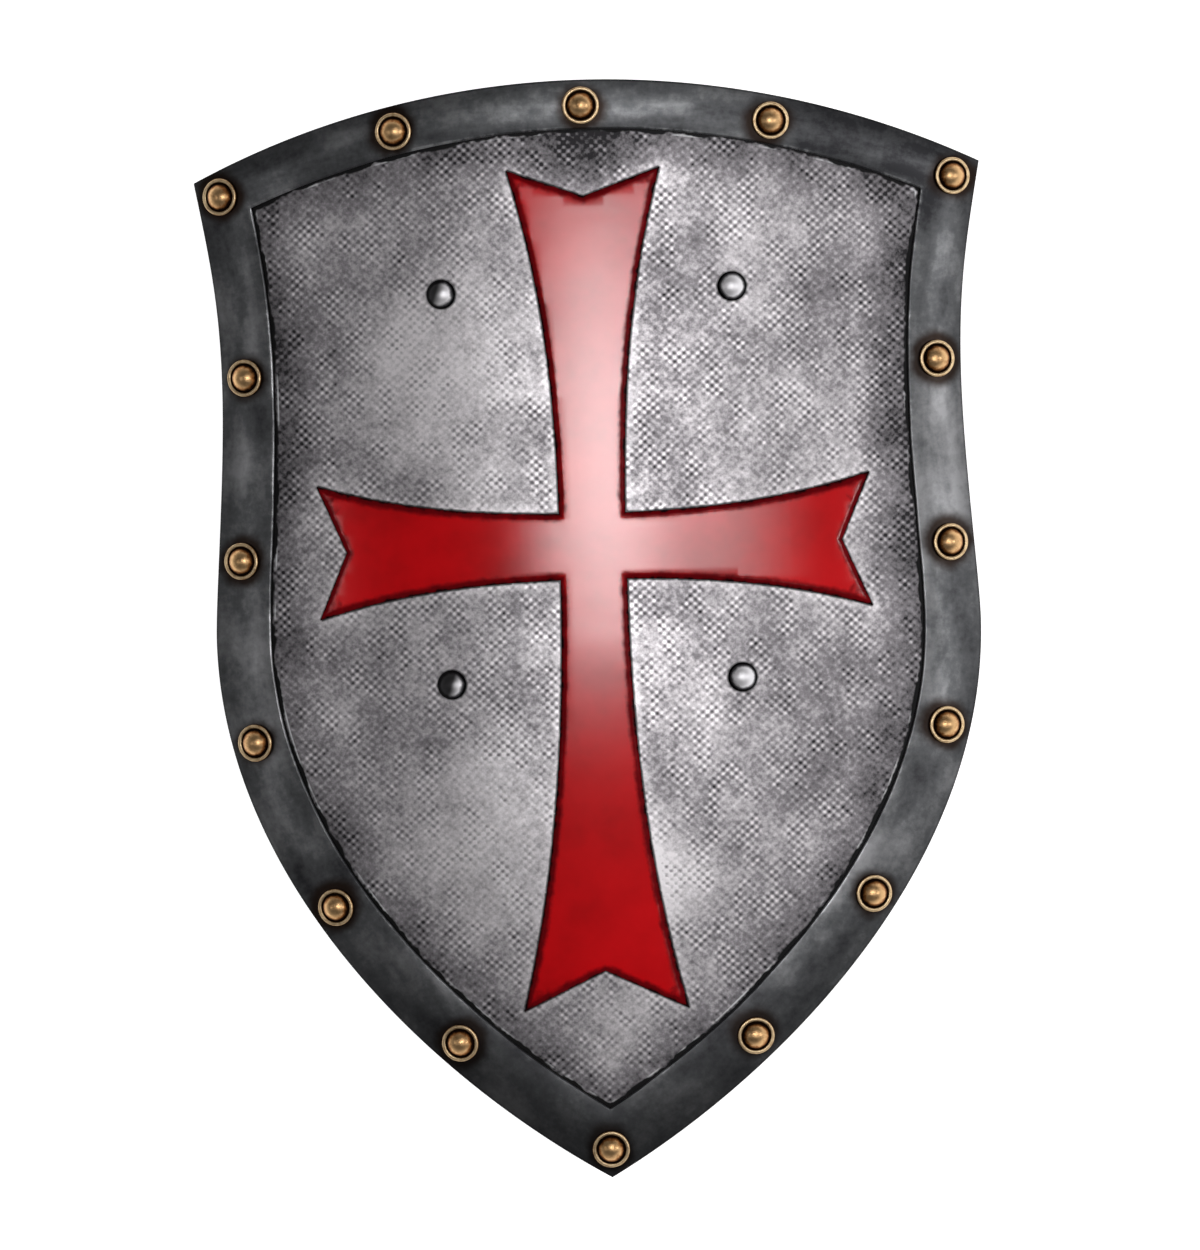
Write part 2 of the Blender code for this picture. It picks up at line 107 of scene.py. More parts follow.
# The band, a strip round the face with a lip turned down over the plate's edge
band = {
    "topWidth": 0.0285,
    "sideWidth": 0.031,
    "tipWidth": 0.035,
    "thickness": 0.0015,
    "crown": 0.0011,
    "rounding": 0.0009,
    "lipThickness": 0.0015,
    "lipDepth": 0.0055,
    "burr": 0.0004,      # the small chamfers of its hidden corners
    "crownSteps": 12,
    "wander": 0.00035,   # how far the hand-cut inner edge strays
    "wanderLength": 0.03,
    "beaten": 0.00012,   # depth of the hammer's waves on its face
    "within": 0.0001,    # keeps its rounded edge inside the solid's
    # where it is painted lighter or darker, as painted highlight and painted shade: place, reach, amount
    "wearAndPaintedLight": [
        ((0.190, 0.100), 0.100, 0.18),
        ((0.160, 0.290), 0.070, -0.16),
        ((-0.205, 0.265), 0.060, -0.10),
        ((0.212, 0.275), 0.050, -0.12),
        ((-0.200, 0.000), 0.080, 0.05),
        ((0.200, 0.250), 0.050, -0.08),
    ],
}
bandTop = shield["gap"] + band["thickness"]


def sidePoint(place, inset, share):
    # place runs from 0 at the corner to 3 at the tip
    number = min(int(place), 2)
    curve = sideCurves[number]
    heading = bezierHeading(curve, place - number)
    width = band["sideWidth"] + (band["tipWidth"] - band["sideWidth"]) * max(0.0, place - 1) / 2
    return bezier(curve, place - number) + Vector((heading.y, -heading.x)) * (inset + share * width)


def fallsToZero(value, low, high):
    for _ in range(40):
        middle = (low + high) / 2
        if value(middle) > 0:
            low = middle
        else:
            high = middle
    return (low + high) / 2


def sideLine(inset, share=0.0):
    radius = crownRadius - inset - share * band["topWidth"]
    start = fallsToZero(
        lambda place: (sidePoint(place, inset, share) - crownCentre).length - radius, 0.0, 1.0
    )
    end = fallsToZero(lambda place: sidePoint(place, inset, share).x, 2.0, 3.0)
    bounds = (start, 1.0, 2.0, end)
    points = []
    for number, steps in enumerate(shield["sideSteps"]):
        reach = bounds[number + 1] - bounds[number]
        places = [bounds[number] + reach * step / steps for step in range(steps)]
        points += [sidePoint(place, inset, share) for place in places]
    points.append(Vector((0.0, sidePoint(end, inset, share).y)))
    return points


def topLine(inset, share=0.0):
    radius = crownRadius - inset - share * band["topWidth"]
    reach = math.asin(sideLine(inset, share)[0].x / radius)
    angles = [reach * step / shield["topSteps"] for step in range(shield["topSteps"] + 1)]
    return [crownCentre + Vector((math.sin(angle), math.cos(angle))) * radius for angle in angles]


def mirrored(points):
    return [Vector((-point.x, point.y)) for point in points]


def outline(inset, share=0.0):
    # clockwise from the middle of the top, moved in by inset and a share of the band's width
    right = topLine(inset, share) + sideLine(inset, share)[1:]
    return right + mirrored(reversed(right[1:-1]))


def spreadAlong(points, pitch):
    lengths = [(b - a).length for a, b in zip(points, points[1:])]
    intervals = max(1, round(sum(lengths) / pitch))
    marks = [sum(lengths) * step / intervals for step in range(1, intervals)]
    found = [points[0]]
    passed = 0.0
    for start, end, length in zip(points, points[1:], lengths):
        while marks and marks[0] <= passed + length:
            found.append(start.lerp(end, (marks.pop(0) - passed) / length))
        passed += length
    return found + [points[-1]]


def faceNormal(x, y):
    below = max(0.0, bellyY - y)
    alongSlope = -2 * shield["tipDrop"] * below / shield["bellyToTip"] ** 2
    return Vector((x / dishRadius, alongSlope, 1.0)).normalized()


def onFace(x, y, up):
    # the point at a height above the dished face, on the shield as it lies
    below = max(0.0, bellyY - y)
    drop = x**2 / (2 * dishRadius) + shield["tipDrop"] * (below / shield["bellyToTip"]) ** 2
    return Vector((x, y, -drop)) + faceNormal(x, y) * up + shield["rise"]


def smoothStep(value, low, high):
    share = min(max((value - low) / (high - low), 0.0), 1.0)
    return share * share * (3 - 2 * share)


def wave(x, y, length, seed):
    # a smooth random wave from -1 to 1 with bumps of about that length
    return noise.noise(Vector((x / length, y / length, seed)))


# adds up patches of wear and of painted highlight and painted shade
def wearAndLightAt(x, y, wearAndPaintedLight):
    return sum(amount * (1 - smoothStep(math.dist((x, y), spot), 0.0, reach)) for spot, reach, amount in wearAndPaintedLight)


class EdgeMap:
    # tells how far a point lies inside a closed clockwise line
    def __init__(self, points, pitch=0.0015):
        samples = []
        for start, end in zip(points, points[1:] + points[:1]):
            heading = (end - start).normalized()
            steps = max(1, math.ceil((end - start).length / pitch))
            for step in range(steps):
                samples.append((start.lerp(end, (step + 0.5) / steps), Vector((heading.y, -heading.x))))
        self.inwards = [inwards for point, inwards in samples]
        self.tree = KDTree(len(samples))
        for number, (point, inwards) in enumerate(samples):
            self.tree.insert((point.x, point.y, 0.0), number)
        self.tree.balance()

    def inside(self, x, y):
        found, number, distance = self.tree.find((x, y, 0.0))
        side = (x - found.x) * self.inwards[number].x + (y - found.y) * self.inwards[number].y
        return distance if side > 0 else -distance


# Materials

def linear(code, alpha=1.0):
    channels = [int(code[place : place + 2], 16) / 255 for place in (1, 3, 5)]
    return (*[c / 12.92 if c <= 0.04045 else ((c + 0.055) / 1.055) ** 2.4 for c in channels], alpha)


def addNode(tree, kind, inputs=(), output=0, stops=(), **settings):
    # inputs are values, or outputs that feed in, in the order of the sockets or by name;
    # stops are a ramp's colours
    node = tree.nodes.new("ShaderNode" + kind)
    for name, value in settings.items():
        setattr(node, name, value)
    for name, value in inputs.items() if isinstance(inputs, dict) else enumerate(inputs):
        if isinstance(value, bpy.types.NodeSocket):
            tree.links.new(value, node.inputs[name])
        else:
            node.inputs[name].default_value = value
    for number, (place, code) in enumerate(stops):
        if number == len(node.color_ramp.elements):
            node.color_ramp.elements.new(place)
        node.color_ramp.elements[number].position = place
        node.color_ramp.elements[number].color = linear(code)
    return node.outputs[output]


# settings that many nodes share
smoothly = {"interpolation_type": "SMOOTHSTEP"}
inColour = {"data_type": "RGBA", "output": 2}


def startMaterial(name, **sockets):
    made = bpy.data.materials.new(name)
    made.use_nodes = True
    tree = made.node_tree
    shader = tree.nodes["Principled BSDF"]
    for socket, value in sockets.items():
        shader.inputs[socket].default_value = value
    return made, tree, shader


# The field's sheet and its finish
field = {
    "pitch": (0.0053, 0.00485),   # of the dimples across and along
    "depth": 0.00009,      # of a dimple, up and down from the mean
    "patch": 0.013,        # width of the places where the dimples are pressed deep
    "thickness": 0.0012,
    "rimInset": 0.0018,
    "backCell": (0.0106, 0.0097),
    "underlap": 0.001,
    "beaten": 0.00022,     # how far the sheet waves from its true dish
    "pit": "#2b292c",
    "tone": "#8e8a8e",
    "polish": "#f0ebee",
    # the colour of the painted shade in the seams
    "seamShade": "#0a090b",
    # the colour of a painted highlight line beside the band
    "edgeHighlight": "#e4e5e7",
    "clouds": 0.038,       # width of the cloudy rub marks
    "dotClouds": 0.009,    # width of the places where the dimples show more
    "speckle": 0.0035,     # width of the grain, coarser than real so that it shows
    "unevenness": 0.018,   # length of the wider and narrower places in the painted shade of the seams
    "cloudShare": 0.17,
    "dotShare": 0.34,
    "speckleShare": 0.16,
    "bandLevels": (0.28, 0.57),        # its level beside the band and away from it: darker along the band, partly blacking left there and partly painted shade
    "darkReach": 0.032,            # from the band's edge
    "crossHighlight": 0.14,              # a painted highlight beside the cross
    "crossReach": (0.0015, 0.0065),
    "edgeHighlightLine": (0.0023, 0.0002, 0.0007),   # the painted highlight line's distance from the band, its half width and its fade
    "bandSeam": (0.0010, 0.0022),
    "crossSeam": (0.0004, 0.0016),
    "headSeam": 0.0012,
    # where it is lighter or darker, partly blacking rubbed off and partly painted highlight and painted
    # shade: place, reach, amount
    "wearAndPaintedLight": [
        ((-0.170, 0.160), 0.080, -0.14),
        ((0.185, 0.215), 0.060, -0.08),
        ((0.150, 0.190), 0.050, -0.20),
        ((0.034, 0.215), 0.040, -0.14),
        ((0.182, 0.115), 0.050, -0.14),
        ((0.190, 0.030), 0.065, -0.05),
        ((0.0, 0.272), 0.050, -0.32),
        ((-0.085, 0.155), 0.080, 0.40),
        ((-0.055, 0.078), 0.050, 0.18),
        ((-0.060, -0.125), 0.080, 0.30),
        ((0.035, -0.025), 0.050, 0.16),
        ((0.030, -0.140), 0.050, 0.36),
        ((0.0, -0.225), 0.050, 0.12),
        ((0.150, -0.060), 0.075, -0.16),
        ((0.036, -0.165), 0.035, 0.16),
    ],
}


def dimpledSteel():
    # Rolled steel sheet pressed with a lozenge of dimples, blacked and rubbed back: black pits and polished
    # tops, darkest along the band partly as blacking and partly as painted shade, brightest beside the cross
    # as a painted highlight; painted shade in the seams, a painted highlight line beside the band, and
    # patches of rubbing and of painted highlight and shade
    made, tree, shader = startMaterial("dimpled_steel_wear_and_painted_light", Metallic=0.7)
    place = addNode(tree, "TexCoord", output="Object")
    fromBand, fromCross, fromHead, pressed, wearAndPaintedLight = [
        addNode(tree, "Attribute", output="Fac", attribute_name=name)
        for name in ("fromBand", "fromCross", "fromHead", "pressed", "wearAndPaintedLight")
    ]
    waves = []
    for way, pitch in zip(("X", "Y"), field["pitch"]):
        along = addNode(tree, "SeparateXYZ", [place], output=way)
        turn = addNode(tree, "Math", [along, 2 * math.pi / pitch], operation="MULTIPLY")
        waves.append(addNode(tree, "Math", [turn], operation="COSINE"))
    dots = addNode(tree, "Math", waves, operation="MULTIPLY")
    clouds, dotClouds, speckle, unevenness = [
        addNode(
            tree,
            "TexNoise",
            {"Vector": place, "Scale": 1 / field[name], "Detail": detail, "Roughness": rough},
        )
        for name, detail, rough in (
            ("clouds", 5.0, 0.62), ("dotClouds", 2.0, 0.6), ("speckle", 2.0, 0.7), ("unevenness", 3.0, 0.6)
        )
    ]
    strength = addNode(tree, "MapRange", [pressed, 0.0, 1.0, 0.3, 1.0], **smoothly)
    patchy = addNode(tree, "MapRange", [dotClouds, 0.3, 0.7, 0.25, 1.35], **smoothly)
    strength = addNode(tree, "Math", [strength, patchy], operation="MULTIPLY")
    strength = addNode(tree, "Math", [strength, field["dotShare"]], operation="MULTIPLY")
    share = field["cloudShare"]
    level = addNode(tree, "MapRange", [clouds, 0.3, 0.7, -share, share])
    share = field["speckleShare"]
    # its level adds: darker along the band as blacking and painted shade, a painted highlight beside the
    # cross, patches of rubbing and painted light, the dimples and the grain
    marksAndPaintedLight = (
        addNode(tree, "MapRange", [fromBand, 0.0, field["darkReach"], *field["bandLevels"]], **smoothly),
        addNode(tree, "MapRange", [fromCross, *field["crossReach"], field["crossHighlight"], 0.0], **smoothly),
        wearAndPaintedLight,
        addNode(tree, "Math", [dots, strength], operation="MULTIPLY"),
        addNode(tree, "MapRange", [speckle, 0.3, 0.7, -share, share]),
    )
    for marks in marksAndPaintedLight:
        level = addNode(tree, "Math", [level, marks], operation="ADD")
    level = addNode(tree, "Clamp", [level])
    stops = [(0.0, field["pit"]), (0.45, field["tone"]), (1.0, field["polish"])]
    colour = addNode(tree, "ValToRGB", [level], stops=stops)
    # a painted highlight, a thin line beside the band, shown where the clouds are high
    away, halfWidth, fade = field["edgeHighlightLine"]
    aside = addNode(tree, "Math", [fromBand, away], operation="SUBTRACT")
    aside = addNode(tree, "Math", [aside], operation="ABSOLUTE")
    edgeHighlight = addNode(tree, "MapRange", [aside, halfWidth, fade, 1.0, 0.0], **smoothly)
    highlightShown = addNode(tree, "MapRange", [clouds, 0.48, 0.60, 0.0, 0.8], **smoothly)
    edgeHighlight = addNode(tree, "Math", [edgeHighlight, highlightShown], operation="MULTIPLY")
    colour = addNode(tree, "Mix", {0: edgeHighlight, 6: colour, 7: linear(field["edgeHighlight"])}, **inColour)
    # painted shade in the seams along the band, the cross and the strap rivets' heads, of uneven width along
    # the band
    wander = addNode(tree, "MapRange", [unevenness, 0.35, 0.65, -0.0014, 0.0007], **smoothly)
    uneven = addNode(tree, "Math", [fromBand, wander], operation="ADD")
    seam = addNode(tree, "MapRange", [uneven, *field["bandSeam"], 1.0, 0.0], **smoothly)
    for more in (
        addNode(tree, "MapRange", [fromCross, *field["crossSeam"], 0.9, 0.0], **smoothly),
        addNode(tree, "MapRange", [fromHead, 0.0, field["headSeam"], 0.8, 0.0], **smoothly),
    ):
        seam = addNode(tree, "Math", [seam, more], operation="MAXIMUM")
    colour = addNode(tree, "Mix", {0: seam, 6: colour, 7: linear(field["seamShade"])}, **inColour)
    tree.links.new(colour, shader.inputs["Base Color"])
    tree.links.new(addNode(tree, "MapRange", [level, 0.0, 1.0, 0.56, 0.34]), shader.inputs["Roughness"])
    grain = addNode(tree, "Bump", {"Height": speckle, "Distance": 0.00015, "Strength": 0.4})
    tree.links.new(grain, shader.inputs["Normal"])
    return made


def blackenedSteel():
    # Forged strip, oil-blacked: dark satin with streaks along it, chips of bright steel on the inner corner,
    # brown bleed round the brass, darker along its outer edge, patches of painted highlight and painted
    # shade, and painted shade that makes it darkest at the tip
    made, tree, shader = startMaterial("oil_blacked_steel", Metallic=0.85)
    place = addNode(tree, "TexCoord", output="Object")
    strip = addNode(tree, "UVMap", uv_map="strip")
    drawn = addNode(tree, "Mapping", {"Vector": strip, "Scale": (1.0, 2.6, 1.0)})
    across, fromRivet, wearAndPaintedLight = [
        addNode(tree, "Attribute", output="Fac", attribute_name=name)
        for name in ("across", "fromRivet", "wearAndPaintedLight")
    ]
    streaks, clouds, fine = [
        addNode(
            tree, "TexNoise", {"Vector": vector, "Scale": 1 / width, "Detail": detail, "Roughness": rough}
        )
        for vector, width, detail, rough in (
            (drawn, 0.05, 4.0, 0.5), (place, 0.05, 4.0, 0.6), (place, 0.004, 3.0, 0.65)
        )
    ]
    # the level starts from the patches of painted highlight and painted shade
    level = wearAndPaintedLight
    for marks, share in ((streaks, 0.75), (clouds, 0.35), (fine, 0.22)):
        level = addNode(tree, "Math", [marks, share, level], operation="MULTIPLY_ADD")
    stops = [(0.47, "#303033"), (0.66, "#57585a"), (0.85, "#858587")]
    colour = addNode(tree, "ValToRGB", [level], stops=stops)
    chips = addNode(tree, "Math", [fine, 0.35, clouds], operation="MULTIPLY_ADD")
    chips = addNode(tree, "MapRange", [chips, 0.66, 0.90, 0.0, 1.0], **smoothly)
    corner = addNode(tree, "MapRange", [across, 0.93, 0.985, 0.0, 1.0], **smoothly)
    worn = addNode(tree, "Math", [corner, chips], operation="MULTIPLY")
    # darker along its outer edge
    outerEdgeDark = addNode(tree, "MapRange", [across, 0.0, 0.06, 0.75, 0.0], **smoothly)
    wander = addNode(tree, "MapRange", [clouds, 0.3, 0.7, -0.0024, 0.0024], **smoothly)
    bleed = addNode(tree, "Math", [fromRivet, wander], operation="ADD")
    bleed = addNode(tree, "MapRange", [bleed, 0.0110, 0.0180, 0.95, 0.0], **smoothly)
    # painted shade: darker towards the tip
    up = addNode(tree, "SeparateXYZ", [place], output="Y")
    tip = addNode(tree, "MapRange", [up, -0.30, -0.15, 0.5, 0.0], **smoothly)
    for share, code in ((worn, "#a9aaac"), (outerEdgeDark, "#101012"), (bleed, "#21140c"), (tip, "#1c1c1e")):
        colour = addNode(tree, "Mix", {0: share, 6: colour, 7: linear(code)}, **inColour)
    tree.links.new(colour, shader.inputs["Base Color"])
    rough = addNode(tree, "MapRange", [streaks, 0.3, 0.7, 0.42, 0.34], **smoothly)
    rough = addNode(tree, "Math", [worn, -0.06, rough], operation="MULTIPLY_ADD")
    tree.links.new(rough, shader.inputs["Roughness"])
    bump = addNode(tree, "Bump", {"Height": streaks, "Distance": 0.0004, "Strength": 0.35})
    grain = addNode(tree, "Bump", {"Height": fine, "Distance": 0.0002, "Strength": 0.35, "Normal": bump})
    tree.links.new(grain, shader.inputs["Normal"])
    return made


def redEnamel():
    # Hard gloss enamel over the raised steel: deep red with a soft clear shine, sooty where it meets
    # the field
    sockets = {"Coat Roughness": 0.14, "Specular IOR Level": 0.02}
    made, tree, shader = startMaterial("gloss_red_enamel", **sockets)
    place = addNode(tree, "TexCoord", output="Object")
    fromEdge = addNode(tree, "Attribute", output="Fac", attribute_name="fromEdge")
    clouds, fine, ripple = [
        addNode(tree, "TexNoise", {"Vector": place, "Scale": 1 / width, "Detail": detail, "Roughness": rough})
        for width, detail, rough in ((0.06, 4.0, 0.6), (0.006, 3.0, 0.6), (0.012, 3.0, 0.5))
    ]
    stops = [(0.3, "#b60006"), (0.5, "#d0000a"), (0.72, "#df020e")]
    colour = addNode(tree, "ValToRGB", [clouds], stops=stops)
    wander = addNode(tree, "MapRange", [fine, 0.3, 0.7, -0.0009, 0.0009])
    strayed = addNode(tree, "Math", [fromEdge, wander], operation="ADD")
    for low, high, amount, code in ((0.0022, 0.0056, 0.85, "#4a050c"), (0.0002, 0.0018, 1.0, "#120305")):
        share = addNode(tree, "MapRange", [strayed, low, high, amount, 0.0], **smoothly)
        colour = addNode(tree, "Mix", {0: share, 6: colour, 7: linear(code)}, **inColour)
    tree.links.new(colour, shader.inputs["Base Color"])
    # soot takes the gloss off the edges
    coat = addNode(tree, "MapRange", [strayed, 0.0020, 0.0052, 0.03, 0.95], **smoothly)
    tree.links.new(coat, shader.inputs["Coat Weight"])
    rough = addNode(tree, "MapRange", [strayed, 0.0012, 0.0042, 0.80, 0.36], **smoothly)
    tree.links.new(rough, shader.inputs["Roughness"])
    bump = addNode(tree, "Bump", {"Height": ripple, "Distance": 0.0004, "Strength": 0.06})
    for socket in ("Normal", "Coat Normal"):
        tree.links.new(bump, shader.inputs[socket])
    return made


def agedBrassWithPaintedLight(name, stops, roughness):
    # Turned brass, aged: lighter on the high places, partly polish and partly painted highlight, and darker
    # low down and in every corner, partly tarnish and partly painted shade
    made, tree, shader = startMaterial(name, Metallic=1.0)
    place = addNode(tree, "TexCoord", output="Object")
    high = addNode(tree, "Attribute", output="Fac", attribute_name="high")
    fine = addNode(tree, "TexNoise", {"Vector": place, "Scale": 1 / 0.003, "Detail": 3.0, "Roughness": 0.65})
    stains = addNode(tree, "MapRange", [fine, 0.3, 0.7, -0.2, 0.2])
    # colour by height: a painted highlight on top and painted shade low down, with polish and tarnish
    level = addNode(tree, "Math", [high, stains], operation="ADD", use_clamp=True)
    tree.links.new(addNode(tree, "ValToRGB", [level], stops=stops), shader.inputs["Base Color"])
    rough = addNode(tree, "MapRange", [level, 0.0, 1.0, roughness + 0.25, roughness], **smoothly)
    tree.links.new(rough, shader.inputs["Roughness"])
    bump = addNode(tree, "Bump", {"Height": fine, "Distance": 0.0002, "Strength": 0.25})
    tree.links.new(bump, shader.inputs["Normal"])
    return made


def rubbedSteelWithPaintedLight(name, bright, dark, roughness):
    # Forged steel: lighter on the dome, partly rubbed bright and partly painted highlight, darker at its foot
    # as painted shade, and darkened over part of some heads as painted shade
    made, tree, shader = startMaterial(name, Metallic=1.0)
    place = addNode(tree, "TexCoord", output="Object")
    high, shadedSide = [
        addNode(tree, "Attribute", output="Fac", attribute_name=key) for key in ("high", "shadedSide")
    ]
    fine = addNode(tree, "TexNoise", {"Vector": place, "Scale": 1 / 0.006, "Detail": 3.0, "Roughness": 0.6})
    stains = addNode(tree, "MapRange", [fine, 0.3, 0.7, -0.12, 0.12])
    level = addNode(tree, "Math", [high, stains], operation="ADD", use_clamp=True)
    colour = addNode(tree, "ValToRGB", [level], stops=[(0.17, "#08080a"), (0.44, dark), (0.74, bright)])
    # painted shade over part of the head
    colour = addNode(tree, "Mix", {0: shadedSide, 6: colour, 7: linear("#0b0a0c")}, **inColour)
    tree.links.new(colour, shader.inputs["Base Color"])
    rough = addNode(tree, "MapRange", [level, 0.0, 1.0, roughness + 0.2, roughness], **smoothly)
    tree.links.new(rough, shader.inputs["Roughness"])
    bump = addNode(tree, "Bump", {"Height": fine, "Distance": 0.0002, "Strength": 0.1})
    tree.links.new(bump, shader.inputs["Normal"])
    return made


def brownLeather():
    # Vegetable-tanned strap leather, waxed: brown with a pebbled grain, creased where it bends,
    # dark burnished edges and a creased line along them
    made, tree, shader = startMaterial("waxed_brown_leather", **{"Specular IOR Level": 0.4})
    place = addNode(tree, "TexCoord", output="Object")
    strip = addNode(tree, "UVMap", uv_map="strip")
    drawn = addNode(tree, "Mapping", {"Vector": strip, "Scale": (0.12, 1.0, 1.0)})
    fromSide = addNode(tree, "Attribute", output="Fac", attribute_name="fromSide")
    clouds, creases = [
        addNode(
            tree, "TexNoise", {"Vector": vector, "Scale": 1 / width, "Detail": detail, "Roughness": rough}
        )
        for vector, width, detail, rough in ((place, 0.03, 4.0, 0.6), (drawn, 0.012, 3.0, 0.55))
    ]
    pebbles = addNode(tree, "TexVoronoi", {"Vector": place, "Scale": 1 / 0.0014}, feature="DISTANCE_TO_EDGE")
    stops = [(0.3, "#3a2112"), (0.55, "#5d3a20"), (0.75, "#7a5130")]
    colour = addNode(tree, "ValToRGB", [clouds], stops=stops)
    groove = addNode(tree, "Math", [fromSide, 0.0036], operation="SUBTRACT")
    groove = addNode(tree, "Math", [groove], operation="ABSOLUTE")
    for marks, low, high, amount, code in (
        (pebbles, 0.0, 0.12, 0.55, "#22120a"),
        (fromSide, 0.0006, 0.0022, 0.85, "#1a0d07"),
        (groove, 0.0, 0.0006, 0.7, "#1a0d07"),
    ):
        share = addNode(tree, "MapRange", [marks, low, high, amount, 0.0], **smoothly)
        colour = addNode(tree, "Mix", {0: share, 6: colour, 7: linear(code)}, **inColour)
    tree.links.new(colour, shader.inputs["Base Color"])
    rough = addNode(tree, "MapRange", [clouds, 0.3, 0.7, 0.42, 0.62], **smoothly)
    tree.links.new(rough, shader.inputs["Roughness"])
    bump = addNode(tree, "Bump", {"Height": pebbles, "Distance": 0.0003, "Strength": 0.5})
    bend = addNode(tree, "Bump", {"Height": creases, "Distance": 0.0006, "Strength": 0.4, "Normal": bump})
    tree.links.new(bend, shader.inputs["Normal"])
    return made


domeStops = [(0.22, "#1e0f06"), (0.62, "#8c5c33"), (1.0, "#d4ab7a")]
washerStops = [(0.26, "#1e0f06"), (0.62, "#94693f"), (1.0, "#dcc199")]
finishes = {
    "dimpled_steel": dimpledSteel(),
    "dark_steel": blackenedSteel(),
    "red_enamel": redEnamel(),
    "aged_brass": agedBrassWithPaintedLight("brass_dome_tarnish_and_painted_light", domeStops, 0.36),
    "worn_brass": agedBrassWithPaintedLight("brass_washer_wear_and_painted_light", washerStops, 0.40),
    "bright_steel": rubbedSteelWithPaintedLight("steel_dome_wear_and_painted_light", "#efedf0", "#5a595c", 0.48),
    "grey_steel": rubbedSteelWithPaintedLight("grey_steel_burr", "#8c8d90", "#3c3d40", 0.40),
    "brown_leather": brownLeather(),
}
print("materials:", len(finishes))


def finishPiece(name, bm, slot, replaced, values=None, sharp=40.0):
    # puts the bmesh in the scene as a piece of the shield; values holds a number for each vertex under a name
    mesh = bpy.data.meshes.new(name)
    bm.to_mesh(mesh)
    bm.free()
    mesh.shade_smooth()
    mesh.set_sharp_from_angle(angle=math.radians(sharp))
    for key, numbers in (values or {}).items():
        layer = mesh.attributes.new(key, "FLOAT", "POINT")
        layer.data.foreach_set("value", numbers)
    piece = bpy.data.objects.new(name, mesh)
    bpy.context.scene.collection.objects.link(piece)
    mesh.materials.append(finishes[slot])
    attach(piece, "root")
    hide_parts(replaced)
    return piece


# Border rivets, their places and sizes
rivets = {
    "inset": 0.0152,
    "pitch": 0.108,
    "headDiameter": 0.016,
    "headHeight": 0.0050,
    "washerDiameter": 0.022,
    "washerFloor": 0.0009,
    "washerRim": 0.0021,
    "washerGroove": 0.0005,
    "sides": 40,
    "unlike": 0.06,
}
washerSeat = bandTop + band["crown"] + shield["gap"]
rivetSeat = washerSeat + rivets["washerFloor"] + shield["gap"]


def bandRivetPlaces():
    top = spreadAlong(topLine(rivets["inset"]), rivets["pitch"])
    side = spreadAlong(sideLine(rivets["inset"]), rivets["pitch"])
    right = top + side[1:]
    return right + mirrored(reversed(right[1:-1]))


rivetPlaces = bandRivetPlaces()

# Cross, with forked and flared arms
cross = {
    "drop": 0.2191,
    "armWidth": 0.0385,
    "topMargin": 0.0232,
    "sideMargin": 0.0242,
    "footMargin": 0.0587,
    "spreads": (0.089, 0.078, 0.096),   # top, sides, foot
    "notches": (0.016, 0.017, 0.023),
    "thickness": 0.0028,
    "edge": 0.0010,       # upright part below the rounded edge
    "bevel": 0.0036,
    "bevelSteps": 6,
    "flarePower": 2.5,
    "armSteps": 30,
    "tipRun": 0.014,      # the last step of a side and of an end, longer than the bevel's mitre
    "cell": (0.006, 0.006),
    "beaten": 0.00002,
}
crossY = cornerY - cross["drop"]


def crossArm(heading, length, spreadWidth, notch):
    aside = Vector((heading.y, -heading.x))
    root = cross["armWidth"] / 2
    reach = length - root - cross["tipRun"]
    side = [Vector((root, root))]
    stations = [root + reach * step / cross["armSteps"] for step in range(1, cross["armSteps"] + 1)]
    for along in [*stations, length]:
        flare = (spreadWidth / 2 - root) * (along / length) ** cross["flarePower"]
        side.append(Vector((root + flare, along)))
    fork = Vector((0.0, length - notch))
    first = cross["tipRun"] / (fork - side[-1]).length
    side += [side[-1].lerp(fork, first + (1 - first) * step / 4) for step in range(4)]
    left = [heading * point.y - aside * point.x for point in side[1:]]
    right = [heading * point.y + aside * point.x for point in reversed(side)]
    return left + [heading * fork.y] + right


def crossOutline():
    upLength = height / 2 - band["topWidth"] - cross["topMargin"] - crossY
    sideLength = shield["waistWidth"] / 2 - band["sideWidth"] - cross["sideMargin"]
    bandInside = tipY + band["tipWidth"] / math.sin(shield["tipHalfAngle"])
    footLength = crossY - bandInside - cross["footMargin"]
    top, sides, foot = cross["spreads"]
    topNotch, sideNotch, footNotch = cross["notches"]
    arms = (
        (Vector((0, 1)), upLength, top, topNotch),
        (Vector((1, 0)), sideLength, sides, sideNotch),
        (Vector((0, -1)), footLength, foot, footNotch),
        (Vector((-1, 0)), sideLength, sides, sideNotch),
    )
    edge = []
    for heading, length, spreadWidth, notch in arms:
        edge += crossArm(heading, length, spreadWidth, notch)
    return [Vector((point.x, crossY + point.y)) for point in edge]


bandEdge = EdgeMap(outline(0.0, 1.0))
crossEdge = EdgeMap(crossOutline())


